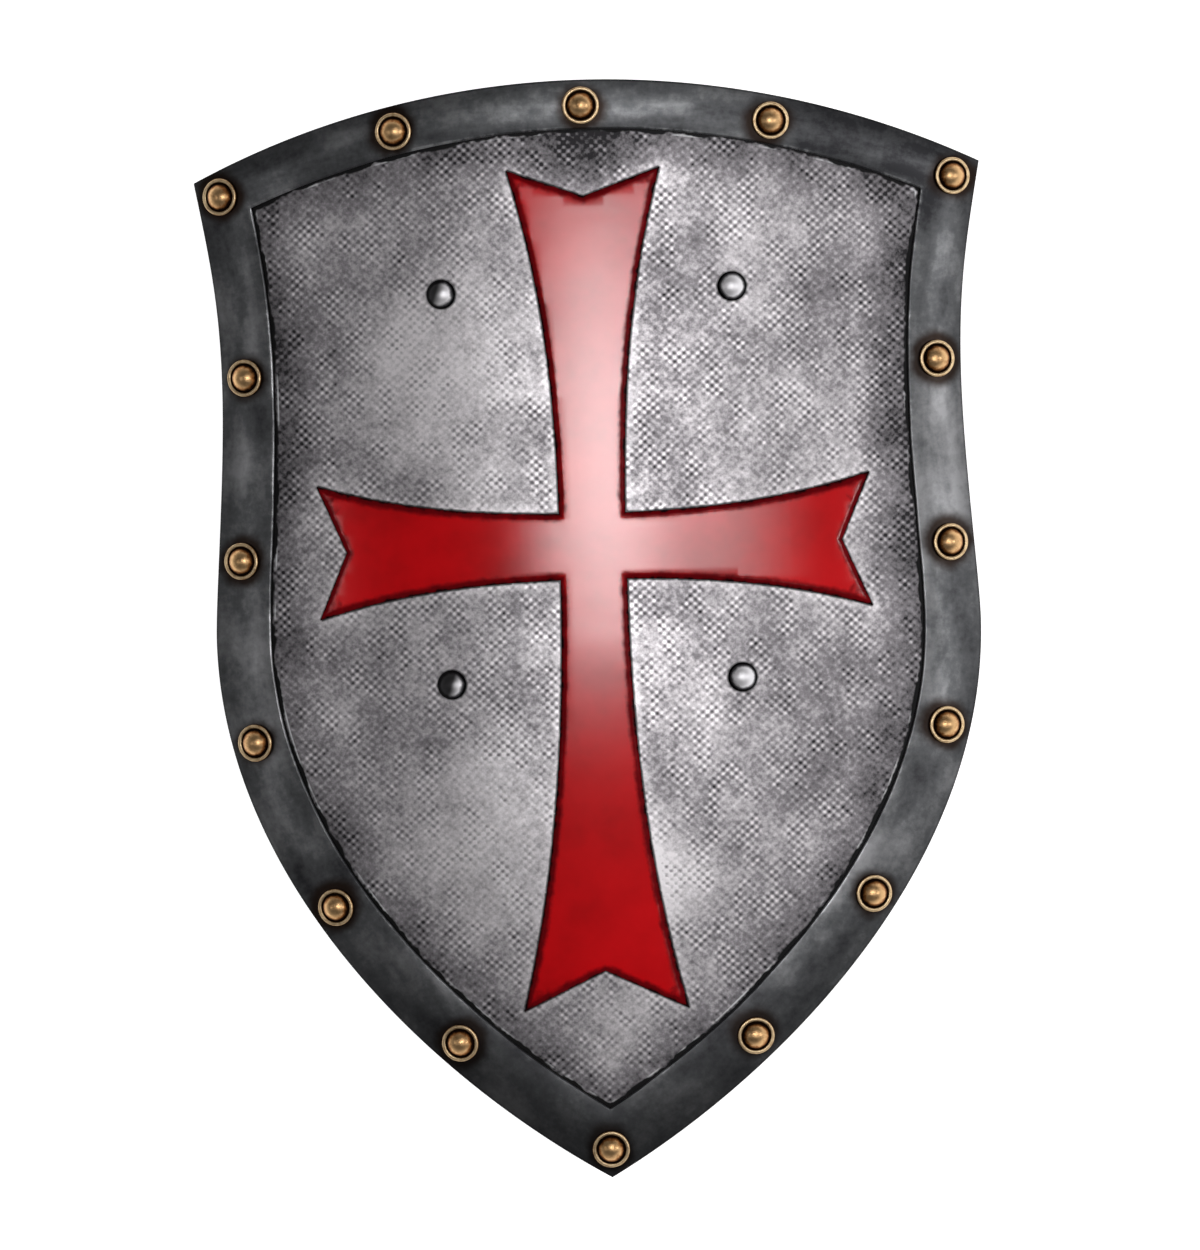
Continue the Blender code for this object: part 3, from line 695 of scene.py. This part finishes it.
# Leather straps and the steel rivets that hold them
straps = {
    "spacing": 0.169,
    "span": 0.227,
    "topDrop": 0.0704,
    "width": 0.036,
    "thickness": 0.0035,
    "end": 0.022,
    "corner": 0.011,
    "foot": 0.013,
    "floorGap": 0.009,
    "rivetDiameter": 0.017,
    "rivetHeight": 0.0052,
    "shadedSide": (-0.12, 0.28, -1.8, -1.8),   # how far across each head its painted shade reaches, from its left
    "burrDiameter": 0.015,
    "burrThickness": 0.0010,
    "edgeRounding": 0.0009,
    "alongSteps": 150,
    "acrossSteps": 12,
}
strapFront = -field["thickness"] - shield["gap"] - straps["width"] ** 2 / (8 * dishRadius)
burrFront = strapFront - straps["thickness"] - shield["gap"]
strapRivetTail = burrFront - straps["burrThickness"] - shield["gap"]
strapUpper = cornerY - straps["topDrop"]
strapRivetPlaces = [
    Vector((side * straps["spacing"] / 2, y))
    for side in (-1, 1)
    for y in (strapUpper, strapUpper - straps["span"])
]


def cutGrid(bm, faces, cell):
    # cuts flat faces along the lines of a grid, joins them across slanted edges, and returns what
    # comes of them
    corners = [vert.co.copy() for face in faces for vert in face.verts]
    part = list(faces)
    for way, pitch in enumerate(cell):
        direction = Vector((1 - way, way, 0))
        spots = [corner[way] / pitch for corner in corners]
        for number in range(math.ceil(min(spots)), math.floor(max(spots)) + 1):
            edges = dict.fromkeys(edge for item in part for edge in item.edges)
            verts = dict.fromkeys(vert for edge in edges for vert in edge.verts)
            cut = bmesh.ops.bisect_plane(
                bm,
                geom=[*verts, *edges, *part],
                dist=1e-6,
                plane_co=direction * number * pitch,
                plane_no=direction,
            )
            part = [item for item in cut["geom"] if isinstance(item, bmesh.types.BMFace)]
    within = dict.fromkeys(part)
    slanted = []
    for edge in dict.fromkeys(edge for item in part for edge in item.edges):
        run = edge.verts[0].co - edge.verts[1].co
        if all(other in within for other in edge.link_faces) and min(abs(run.x), abs(run.y)) > 1e-6:
            slanted.append(edge)
    joined = bmesh.ops.dissolve_edges(bm, edges=slanted, use_verts=True)["region"]
    return list(dict.fromkeys([item for item in part if item.is_valid] + list(joined)))


def makePlate():
    bm = bmesh.new()
    rim = [bm.verts.new((*point, 0.0)) for point in outline(field["rimInset"])]
    front = bm.faces.new(rim)
    copied = bmesh.ops.extrude_face_region(bm, geom=[front], use_keep_orig=True)["geom"]
    moved = [item for item in copied if isinstance(item, bmesh.types.BMVert)]
    back = next(
        item for item in copied if isinstance(item, bmesh.types.BMFace) and set(item.verts) <= set(moved)
    )
    bmesh.ops.translate(bm, vec=(0, 0, -field["thickness"]), verts=moved)
    cutGrid(bm, [back], field["backCell"])
    cells = cutGrid(bm, [front], field["pitch"])
    # only cells that show, or reach a little under the band or the cross, get finer
    shown = []
    for cell in cells:
        x, y, _ = cell.calc_center_median()
        seen = bandEdge.inside(x, y) > -field["underlap"] and crossEdge.inside(x, y) < field["underlap"]
        if len(cell.verts) == 4 and seen:
            shown.append(cell)
    edges = dict.fromkeys(edge for cell in shown for edge in cell.edges)
    bmesh.ops.subdivide_edges(bm, edges=list(edges), cuts=3, use_grid_fill=True)
    bmesh.ops.recalc_face_normals(bm, faces=bm.faces[:])
    bmesh.ops.triangulate(bm, faces=[face for face in bm.faces if len(face.verts) > 4])
    turns = [2 * math.pi / pitch for pitch in field["pitch"]]
    fromBand, fromCross, fromHead, pressed, wearAndPaintedLight = [], [], [], [], []
    for vert in bm.verts:
        x, y, z = vert.co
        toBand = bandEdge.inside(x, y)
        toCross = -crossEdge.inside(x, y)
        fromBand.append(toBand)
        fromCross.append(toCross)
        toRivet = min(math.dist((x, y), place) for place in strapRivetPlaces)
        fromHead.append(toRivet - straps["rivetDiameter"] / 2)
        patches = wave(x, y * 0.7, field["patch"], 2.2) + 0.3 * wave(x, y, 0.008, 6.1)
        pressed.append(smoothStep(patches, -0.18, 0.26))
        # patches of rubbing and of painted highlight and painted shade
        wearAndPaintedLight.append(wearAndLightAt(x, y, field["wearAndPaintedLight"]))
        shows = smoothStep(toBand, -0.003, 0.003)
        up = field["beaten"] * (wave(x, y, 0.07, 3.1) + 0.35 * wave(x, y, 0.022, 7.7)) * shows
        if z > -field["thickness"] / 2:
            dimple = math.cos(turns[0] * x) * math.cos(turns[1] * y) * (0.3 + 0.7 * pressed[-1])
            up += field["depth"] * dimple * shows * smoothStep(toCross, -0.004, 0.001)
        vert.co = onFace(x, y, z + up)
    values = {
        "fromBand": fromBand,
        "fromCross": fromCross,
        "fromHead": fromHead,
        "pressed": pressed,
        "wearAndPaintedLight": wearAndPaintedLight,
    }
    return finishPiece("shield_plate_face", bm, "dimpled_steel", "shield_plate", values, 60.0)


plate = makePlate()
print("plate:", len(plate.data.polygons), "faces")


def bandSection():
    # inset, share of the width, height above the face, from the lip's foot over the top to the underside
    top, rounding, lip = bandTop, band["rounding"], band["lipDepth"]
    small = band["burr"]
    section = [(small, 0.0, -lip), (0.0, 0.0, small - lip), (0.0, 0.0, -lip / 2), (0.0, 0.0, top - rounding)]
    for step in range(1, 4):
        angle = math.pi / 2 * step / 4
        section.append((rounding * (1 - math.cos(angle)), 0.0, top - rounding + rounding * math.sin(angle)))
    for step in range(band["crownSteps"] + 1):
        share = step / band["crownSteps"]
        section.append((rounding * (1 - 2 * share), share, top + band["crown"] * (1 - (2 * share - 1) ** 2)))
    for step in range(1, 4):
        angle = math.pi / 2 * step / 4
        section.append((-rounding * (1 - math.sin(angle)), 1.0, top - rounding + rounding * math.cos(angle)))
    under, inner = shield["gap"], band["lipThickness"]
    section += [(0.0, 1.0, top - rounding), (0.0, 1.0, under + small), (-small, 1.0, under)]
    section += [(0.0, 0.5, under), (inner, 0.0, under)]
    section += [(inner, 0.0, -lip / 2), (inner, 0.0, small - lip), (inner - small, 0.0, -lip)]
    return section


def makeBand():
    bm = bmesh.new()
    middle = outline(0.0, 0.5)
    along = [0.0]
    for start, end in zip(middle, middle[1:]):
        along.append(along[-1] + (end - start).length)
    tree = KDTree(len(rivetPlaces))
    for number, place in enumerate(rivetPlaces):
        tree.insert((place.x, place.y, 0.0), number)
    tree.balance()
    section = bandSection()
    rings = []
    across, fromRivet, wearAndPaintedLight, places = [], [], [], []
    for inset, share, up in section:
        ring = []
        for number, point in enumerate(outline(inset + band["within"], share)):
            heading = (middle[(number + 1) % len(middle)] - middle[number - 1]).normalized()
            inwards = Vector((heading.y, -heading.x))
            stray = band["wander"] * wave(point.x, point.y, band["wanderLength"], 11.3) * share
            place = point + inwards * stray
            shows = up > bandTop - band["rounding"]
            lift = 0.0
            if shows:
                lift = band["beaten"] * wave(point.x, point.y, 0.03, 4.4) * math.sin(math.pi * share)
            vert = bm.verts.new(onFace(place.x, place.y, up + lift))
            ring.append(vert)
            width = inset + share * band["sideWidth"]
            across.append(width / band["sideWidth"])
            fromRivet.append(tree.find((place.x, place.y, 0.0))[2])
            # patches of painted highlight and painted shade
            wearAndPaintedLight.append(wearAndLightAt(place.x, place.y, band["wearAndPaintedLight"]))
            places.append((along[number], width))
        rings.append(ring)
    loops = []
    for ring in rings:
        loops.append([bm.edges.new((ring[number - 1], ring[number])) for number in range(len(ring))])
    for loop, following in zip(loops, loops[1:] + loops[:1]):
        bmesh.ops.bridge_loops(bm, edges=loop + following)
    bmesh.ops.recalc_face_normals(bm, faces=bm.faces[:])
    strip = bm.loops.layers.uv.new("strip")
    bm.verts.index_update()
    whole = along[-1] + (middle[0] - middle[-1]).length
    for face in bm.faces:
        spots = [places[loop.vert.index] for loop in face.loops]
        wraps = max(spot[0] for spot in spots) - min(spot[0] for spot in spots) > whole / 2
        for loop, spot in zip(face.loops, spots):
            loop[strip].uv = (spot[0] + (whole if wraps and spot[0] < whole / 2 else 0.0), spot[1])
    values = {"across": across, "fromRivet": fromRivet, "wearAndPaintedLight": wearAndPaintedLight}
    return finishPiece("border_band_strip", bm, "dark_steel", "border_band", values, 50.0)


strip = makeBand()
print("band:", len(strip.data.polygons), "faces")


def makeCross():
    bm = bmesh.new()
    under = bm.faces.new([bm.verts.new((*point, shield["gap"])) for point in crossOutline()])
    raised = bmesh.ops.extrude_face_region(bm, geom=[under], use_keep_orig=True)["geom"]
    top = next(item for item in raised if isinstance(item, bmesh.types.BMFace))
    bmesh.ops.translate(bm, vec=(0, 0, cross["edge"]), verts=top.verts[:])
    rise = cross["thickness"] - cross["edge"]
    done = (0.0, 0.0)
    for step in range(1, cross["bevelSteps"] + 1):
        angle = math.pi / 2 * step / cross["bevelSteps"]
        here = (1 - math.cos(angle), math.sin(angle))
        inwards = cross["bevel"] * (here[0] - done[0])
        bmesh.ops.inset_region(bm, faces=[top], thickness=inwards, use_even_offset=True)
        bmesh.ops.translate(bm, vec=(0, 0, rise * (here[1] - done[1])), verts=top.verts[:])
        done = here
    for broad in (under, top):
        # a forked outline cuts cleanly only as triangles
        cutGrid(bm, bmesh.ops.triangulate(bm, faces=[broad])["faces"], cross["cell"])
    bmesh.ops.triangulate(bm, faces=[face for face in bm.faces if len(face.verts) > 4])
    bmesh.ops.recalc_face_normals(bm, faces=bm.faces[:])
    fromEdge = []
    for vert in bm.verts:
        x, y, z = vert.co
        inside = crossEdge.inside(x, y)
        fromEdge.append(inside)
        up = cross["beaten"] * wave(x, y, 0.035, 8.2) if inside > 0.003 else 0.0
        vert.co = onFace(x, y, z + up)
    return finishPiece("enamelled_cross", bm, "red_enamel", "cross", {"fromEdge": fromEdge}, 50.0)


enamelledCross = makeCross()
print("cross:", len(enamelledCross.data.polygons), "faces")

# What every rivet's shank and hammered tail measure
shank = {
    "diameter": 0.0048,
    "clearance": 0.0004,
    "tailDiameter": 0.0086,
    "tailHeight": 0.0013,
    "domeSweep": math.radians(68),   # how far round its arc a head's dome goes
}


def spinProfile(profile, sides):
    # turns a line of radius, height pairs round Z; a line that starts off the axis is closed into a ring
    bm = bmesh.new()
    verts = [bm.verts.new((radius, 0.0, up)) for radius, up in profile]
    edges = [bm.edges.new(pair) for pair in zip(verts, verts[1:])]
    if profile[0][0] > 0:
        edges.append(bm.edges.new((verts[-1], verts[0])))
    bmesh.ops.spin(
        bm,
        geom=verts + edges,
        cent=(0, 0, 0),
        axis=(0, 0, 1),
        angle=2 * math.pi,
        steps=sides,
        use_merge=True,
    )
    bmesh.ops.remove_doubles(bm, verts=bm.verts[:], dist=1e-6)
    bmesh.ops.recalc_face_normals(bm, faces=bm.faces[:])
    return bm


def domeProfile(diameter, rise, grip):
    # a domed head, its shank and its flattened tail
    head = diameter / 2
    pin = shank["diameter"] / 2
    tail = shank["tailDiameter"] / 2
    foot = shank["domeSweep"]
    profile = [(0.0, rise)]
    for step in range(1, 12):
        angle = foot * step / 12
        share = (math.cos(angle) - math.cos(foot)) / (1 - math.cos(foot))
        profile.append((head * math.sin(angle) / math.sin(foot), rise * share))
    profile += [(head, 0.0002), (head * 0.985, 0.0), (pin, 0.0), (pin, -grip)]
    profile += [(tail * 0.93, -grip), (tail, -grip - 0.0003), (tail * 0.95, -grip - 0.0009)]
    profile += [(tail * 0.7, -grip - 0.0012), (0.0, -grip - shank["tailHeight"])]
    return profile


def washerProfile():
    hole = shank["diameter"] / 2 + shank["clearance"]
    inside = rivets["headDiameter"] / 2 + rivets["washerGroove"]
    outer = rivets["washerDiameter"] / 2
    floor, rim = rivets["washerFloor"], rivets["washerRim"]
    profile = [(hole, 0.0), (hole, floor), (inside - 0.0004, floor)]
    middle = (inside + outer) / 2
    half = (outer - inside) / 2
    for step in range(0, 11):
        # a flattened half round from the groove over the rim to the foot
        angle = math.pi * (1 - step / 10)
        base = floor * (1 - step / 10)
        aside = math.copysign(abs(math.cos(angle)) ** 0.7, math.cos(angle))
        profile.append((middle + half * aside, base + (rim - base) * max(0.0, math.sin(angle)) ** 0.7))
    return profile


def seatPiece(bm, place, up, turn=0.0):
    # stands a turned piece on the face, its axis square to it
    stand = faceNormal(place.x, place.y).to_track_quat("Z", "Y").to_matrix().to_4x4()
    stand.translation = onFace(place.x, place.y, up)
    bmesh.ops.transform(bm, matrix=stand @ Matrix.Rotation(turn, 4, "Z"), verts=bm.verts[:])


def highPlaces(bm, low, top):
    # how high each vertex of a turned piece stands, from 0 at low to 1 at top
    return [smoothStep(vert.co.z, low, top) for vert in bm.verts]


def makeBorderRivets():
    grip = rivetSeat + field["thickness"] + shield["gap"]
    dome = domeProfile(rivets["headDiameter"], rivets["headHeight"], grip)
    ring = washerProfile()
    for number, place in enumerate(rivetPlaces, 1):
        hand = wave(number * 0.37, 0.2, 1.0, 5.5)
        # no two heads are hammered or turned quite alike
        hammered = [(radius, up * (1 + rivets["unlike"] * hand) if up > 0 else up) for radius, up in dome]
        bm = spinProfile(hammered, rivets["sides"])
        # heights that make the head and washer lighter on top and darker low down, partly painted highlight
        # and painted shade
        high = {"high": highPlaces(bm, 0.0, rivets["headHeight"] * 0.8)}
        seatPiece(bm, place, rivetSeat, hand * 3)
        finishPiece(f"brass_rivet_{number:02d}", bm, "aged_brass", f"border_rivet_{number:02d}", high, 60.0)
        bm = spinProfile(ring, rivets["sides"])
        high = {"high": highPlaces(bm, rivets["washerFloor"], rivets["washerRim"])}
        seatPiece(bm, place, washerSeat, hand * 5)
        finishPiece(f"brass_washer_{number:02d}", bm, "worn_brass", f"rivet_washer_{number:02d}", high, 60.0)


makeBorderRivets()
print("border rivets:", len(rivetPlaces))


def makeStrap(name, replaced, x):
    loopLength = straps["span"] - 2 * straps["foot"]
    middle = strapFront - straps["thickness"] / 2
    bow = onFace(x, strapUpper, strapFront - straps["thickness"]).z - straps["floorGap"]
    length = straps["span"] + 2 * straps["end"]
    corner = straps["corner"]

    def halfWidth(fromEnd):
        short = max(0.0, corner - fromEnd)
        return straps["width"] / 2 - corner + math.sqrt(max(0.0, corner**2 - short**2))

    def depth(down):
        share = min(max((down - straps["end"] - straps["foot"]) / loopLength, 0.0), 1.0)
        return middle - bow * math.sin(math.pi * share) ** 2

    bm = bmesh.new()
    bmesh.ops.create_grid(bm, x_segments=straps["acrossSteps"], y_segments=straps["alongSteps"], size=0.5)
    across = Vector((1.0, 0.0, -x / dishRadius)).normalized()
    half = straps["thickness"] / 2
    spots = {}
    for vert in bm.verts:
        share = 0.5 - vert.co.y
        # steps are closer together at the rounded ends
        share = share - 0.75 * math.sin(2 * math.pi * share) / (2 * math.pi)
        down = length * share
        side = 2 * vert.co.x * halfWidth(min(down, length - down))
        spots[vert.index] = (down, side)
        vert.co = onFace(x, strapUpper + straps["end"] - down, depth(down)) + across * side
    bmesh.ops.recalc_face_normals(bm, faces=bm.faces[:])
    flat = bm.faces[:]
    if sum(face.normal.z for face in flat) < 0:
        bmesh.ops.reverse_faces(bm, faces=flat)
    for vert in bm.verts:
        vert.co += vert.normal * half
    bmesh.ops.solidify(bm, geom=flat, thickness=straps["thickness"])
    rims = [edge for edge in bm.edges if edge.calc_face_angle(0.0) > math.radians(60)]
    bmesh.ops.bevel(
        bm,
        geom=rims,
        offset=straps["edgeRounding"],
        segments=3,
        profile=0.5,
        affect="EDGES",
        material=-1,
    )
    bmesh.ops.recalc_face_normals(bm, faces=bm.faces[:])
    fromSide, places = [], []
    for vert in bm.verts:
        down = strapUpper + straps["end"] - vert.co.y
        aside = (vert.co - onFace(x, vert.co.y, 0.0)).dot(across)
        edge = halfWidth(min(max(min(down, length - down), 0.0), corner))
        fromSide.append(max(0.0, min(edge - abs(aside), down, length - down)))
        places.append((down, aside))
    strip = bm.loops.layers.uv.new("strip")
    bm.verts.index_update()
    for face in bm.faces:
        for loop in face.loops:
            loop[strip].uv = places[loop.vert.index]
    finishPiece(name, bm, "brown_leather", replaced, {"fromSide": fromSide}, 45.0)


makeStrap("forearm_leather", "forearm_strap", -straps["spacing"] / 2)
makeStrap("grip_leather", "grip_strap", straps["spacing"] / 2)


def makeStrapRivets():
    dome = domeProfile(straps["rivetDiameter"], straps["rivetHeight"], shield["gap"] - strapRivetTail)
    hole = shank["diameter"] / 2 + shank["clearance"]
    outer = straps["burrDiameter"] / 2
    low = straps["burrThickness"]
    burr = [(hole, 0.0), (outer - 0.0002, 0.0), (outer, -0.0002)]
    burr += [(outer, 0.0002 - low), (outer - 0.0003, -low), (hole, -low)]
    for number, place in enumerate(strapRivetPlaces, 1):
        bm = spinProfile(dome, rivets["sides"])
        high = highPlaces(bm, 0.0, straps["rivetHeight"])
        seatPiece(bm, place, shield["gap"])
        # painted shade over the left part of the two left-hand heads
        reach = straps["shadedSide"][number - 1]
        shadedSide = []
        for vert in bm.verts:
            aside = (vert.co.x - place.x - 0.35 * (vert.co.y - place.y)) * 2 / straps["rivetDiameter"]
            shadedSide.append(0.95 * (1 - smoothStep(aside, reach - 0.35, reach + 0.35)))
        values = {"high": high, "shadedSide": shadedSide}
        finishPiece(f"steel_rivet_{number}", bm, "bright_steel", f"strap_rivet_{number}", values, 60.0)
        bm = spinProfile(burr, rivets["sides"])
        high = [0.7] * len(bm.verts)
        seatPiece(bm, place, burrFront)
        finishPiece(f"steel_burr_{number}", bm, "grey_steel", f"strap_burr_{number}", {"high": high}, 40.0)


makeStrapRivets()
print("straps and their rivets: done")

# Camera, at the photo's angle: straight above the shield and a little towards its right side
camera = {
    "yaw": 0.0347,
    "pitch": -0.0189,
    "roll": 0.0282,
    "distance": 4.5,
    "metresPerPixel": 0.0005836,
    "middle": (597.0, 630.5),   # where the target falls in the 1200 by 1250 frame
    "target": Vector((0.0, 0.0, 0.03)),
}


def makeCamera():
    yaw, pitch, roll = camera["yaw"], camera["pitch"], camera["roll"]
    out = Vector((math.sin(yaw) * math.cos(pitch), -math.sin(pitch), math.cos(yaw) * math.cos(pitch)))
    up = Vector((0.0, 1.0, 0.0))
    up = (up - out * up.dot(out)).normalized()
    right = up.cross(out)
    turned = (
        right * math.cos(roll) - up * math.sin(roll),
        right * math.sin(roll) + up * math.cos(roll),
        out,
    )
    data = bpy.data.cameras.new("camera")
    data.sensor_fit = "HORIZONTAL"
    data.sensor_width = 36
    data.lens = 36 * camera["distance"] / (1200 * camera["metresPerPixel"])
    data.shift_x = (600 - camera["middle"][0]) / 1200
    data.shift_y = (camera["middle"][1] - 625) / 1200
    data.clip_end = 50
    placed = bpy.data.objects.new("camera", data)
    bpy.context.scene.collection.objects.link(placed)
    eye = Matrix.Translation(camera["target"] + out * camera["distance"])
    placed.matrix_world = eye @ Matrix(turned).transposed().to_4x4()
    bpy.context.scene.camera = placed


makeCamera()

# Studio: softboxes over the shield, their middles in metres to its right, towards its top and up
studio = {
    "centre": {"middle": (-0.08, 0.15), "up": 6.0, "size": (2.8, 0.60), "core": (0.0, 0.5), "radiance": 22.0},
    "right": {"middle": (1.3, 0.12), "up": 6.0, "size": (3.6, 0.8), "core": (0.0, 0.3), "radiance": 9.0},
    "low": {"middle": (-0.2, -0.25), "up": 6.0, "size": (3.2, 1.0), "core": (0.0, 0.0), "radiance": 3.5},
    "lowRight": {"middle": (2.3, -1.7), "up": 6.0, "size": (2.6, 2.0), "core": (0.2, 0.2), "radiance": 1.6},
    "top": {"middle": (1.2, 1.7), "up": 6.0, "size": (3.2, 1.9), "core": (0.2, 0.2), "radiance": 2.6},
    "farRight": {"middle": (5.7, -0.05), "up": 6.0, "size": (2.8, 1.4), "core": (0.1, 0.3), "radiance": 18.0},
    "farLeft": {"middle": (-5.7, -0.4), "up": 6.0, "size": (2.4, 3.2), "core": (0.3, 0.3), "radiance": 2.4},
    "ceiling": 0.06,
    "ceilingEdge": (0.30, 0.62),   # where walls give way to ceiling, as the sine of the height
    "walls": (0.25, 1.2),   # left and right
    "floor": "#fbfbfb",
    "floorGlow": 0.85,   # a lit table
}


def addSoftbox(name, light):
    place = Vector((*light["middle"], light["up"]))
    data = bpy.data.lights.new(name, "AREA")
    data.shape = "RECTANGLE"
    data.size, data.size_y = light["size"]
    # an area light's watts are its radiance times its area and pi
    data.energy = light["radiance"] * math.pi * data.size * data.size_y
    data.use_nodes = True
    tree = data.node_tree
    # full in its core, a share of its half size, and fading to nothing at its sides
    fades = []
    for way, core in zip(("X", "Y"), light["core"]):
        parametric = addNode(tree, "NewGeometry", output="Parametric")
        spot = addNode(tree, "SeparateXYZ", [parametric], output=way)
        aside = addNode(tree, "Math", [spot, 0.5], operation="SUBTRACT")
        aside = addNode(tree, "Math", [aside], operation="ABSOLUTE")
        fades.append(addNode(tree, "MapRange", [aside, core / 2, 0.5, 1.0, 0.0], **smoothly))
    share = addNode(tree, "Math", fades, operation="MULTIPLY")
    tree.links.new(share, tree.nodes["Emission"].inputs["Strength"])
    placed = bpy.data.objects.new(name, data)
    bpy.context.scene.collection.objects.link(placed)
    out = place.normalized()
    side = Vector((0.0, 1.0, 0.0)).cross(out).normalized()
    turned = Matrix((side, out.cross(side), out)).transposed().to_4x4()
    placed.matrix_world = Matrix.Translation(place) @ turned


for name in ("centre", "right", "low", "lowRight", "top", "farRight", "farLeft"):
    addSoftbox(name, studio[name])


def makeWorld():
    world = bpy.data.worlds.new("studio")
    world.use_nodes = True
    tree = world.node_tree
    direction = addNode(tree, "TexCoord", output="Generated")
    aside, up = [addNode(tree, "SeparateXYZ", [direction], output=way) for way in ("X", "Z")]
    left, right, ceiling = [(light, light, light, 1.0) for light in (*studio["walls"], studio["ceiling"])]
    share = addNode(tree, "MapRange", [aside, -0.8, 0.8, 0.0, 1.0], **smoothly)
    walls = addNode(tree, "Mix", {0: share, 6: left, 7: right}, **inColour)
    share = addNode(tree, "MapRange", [up, *studio["ceilingEdge"], 0.0, 1.0], **smoothly)
    colour = addNode(tree, "Mix", {0: share, 6: walls, 7: ceiling}, **inColour)
    tree.links.new(colour, tree.nodes["Background"].inputs["Color"])
    bpy.context.scene.world = world


makeWorld()


def makeFloor():
    bm = bmesh.new()
    bmesh.ops.create_grid(bm, x_segments=1, y_segments=1, size=12)
    mesh = bpy.data.meshes.new("floor")
    bm.to_mesh(mesh)
    bm.free()
    # Matt paper sweep: flat, pale, no shine
    sockets = {"Base Color": linear(studio["floor"]), "Specular IOR Level": 0.1}
    sockets.update({"Emission Color": (1.0, 1.0, 1.0, 1.0), "Emission Strength": studio["floorGlow"]})
    made, _, _ = startMaterial("matt_paper", Roughness=0.9, **sockets)
    mesh.materials.append(made)
    floor = bpy.data.objects.new("floor", mesh)
    bpy.context.scene.collection.objects.link(floor)


makeFloor()
bpy.context.scene.view_settings.view_transform = "Standard"
print("camera, lights and floor: done")
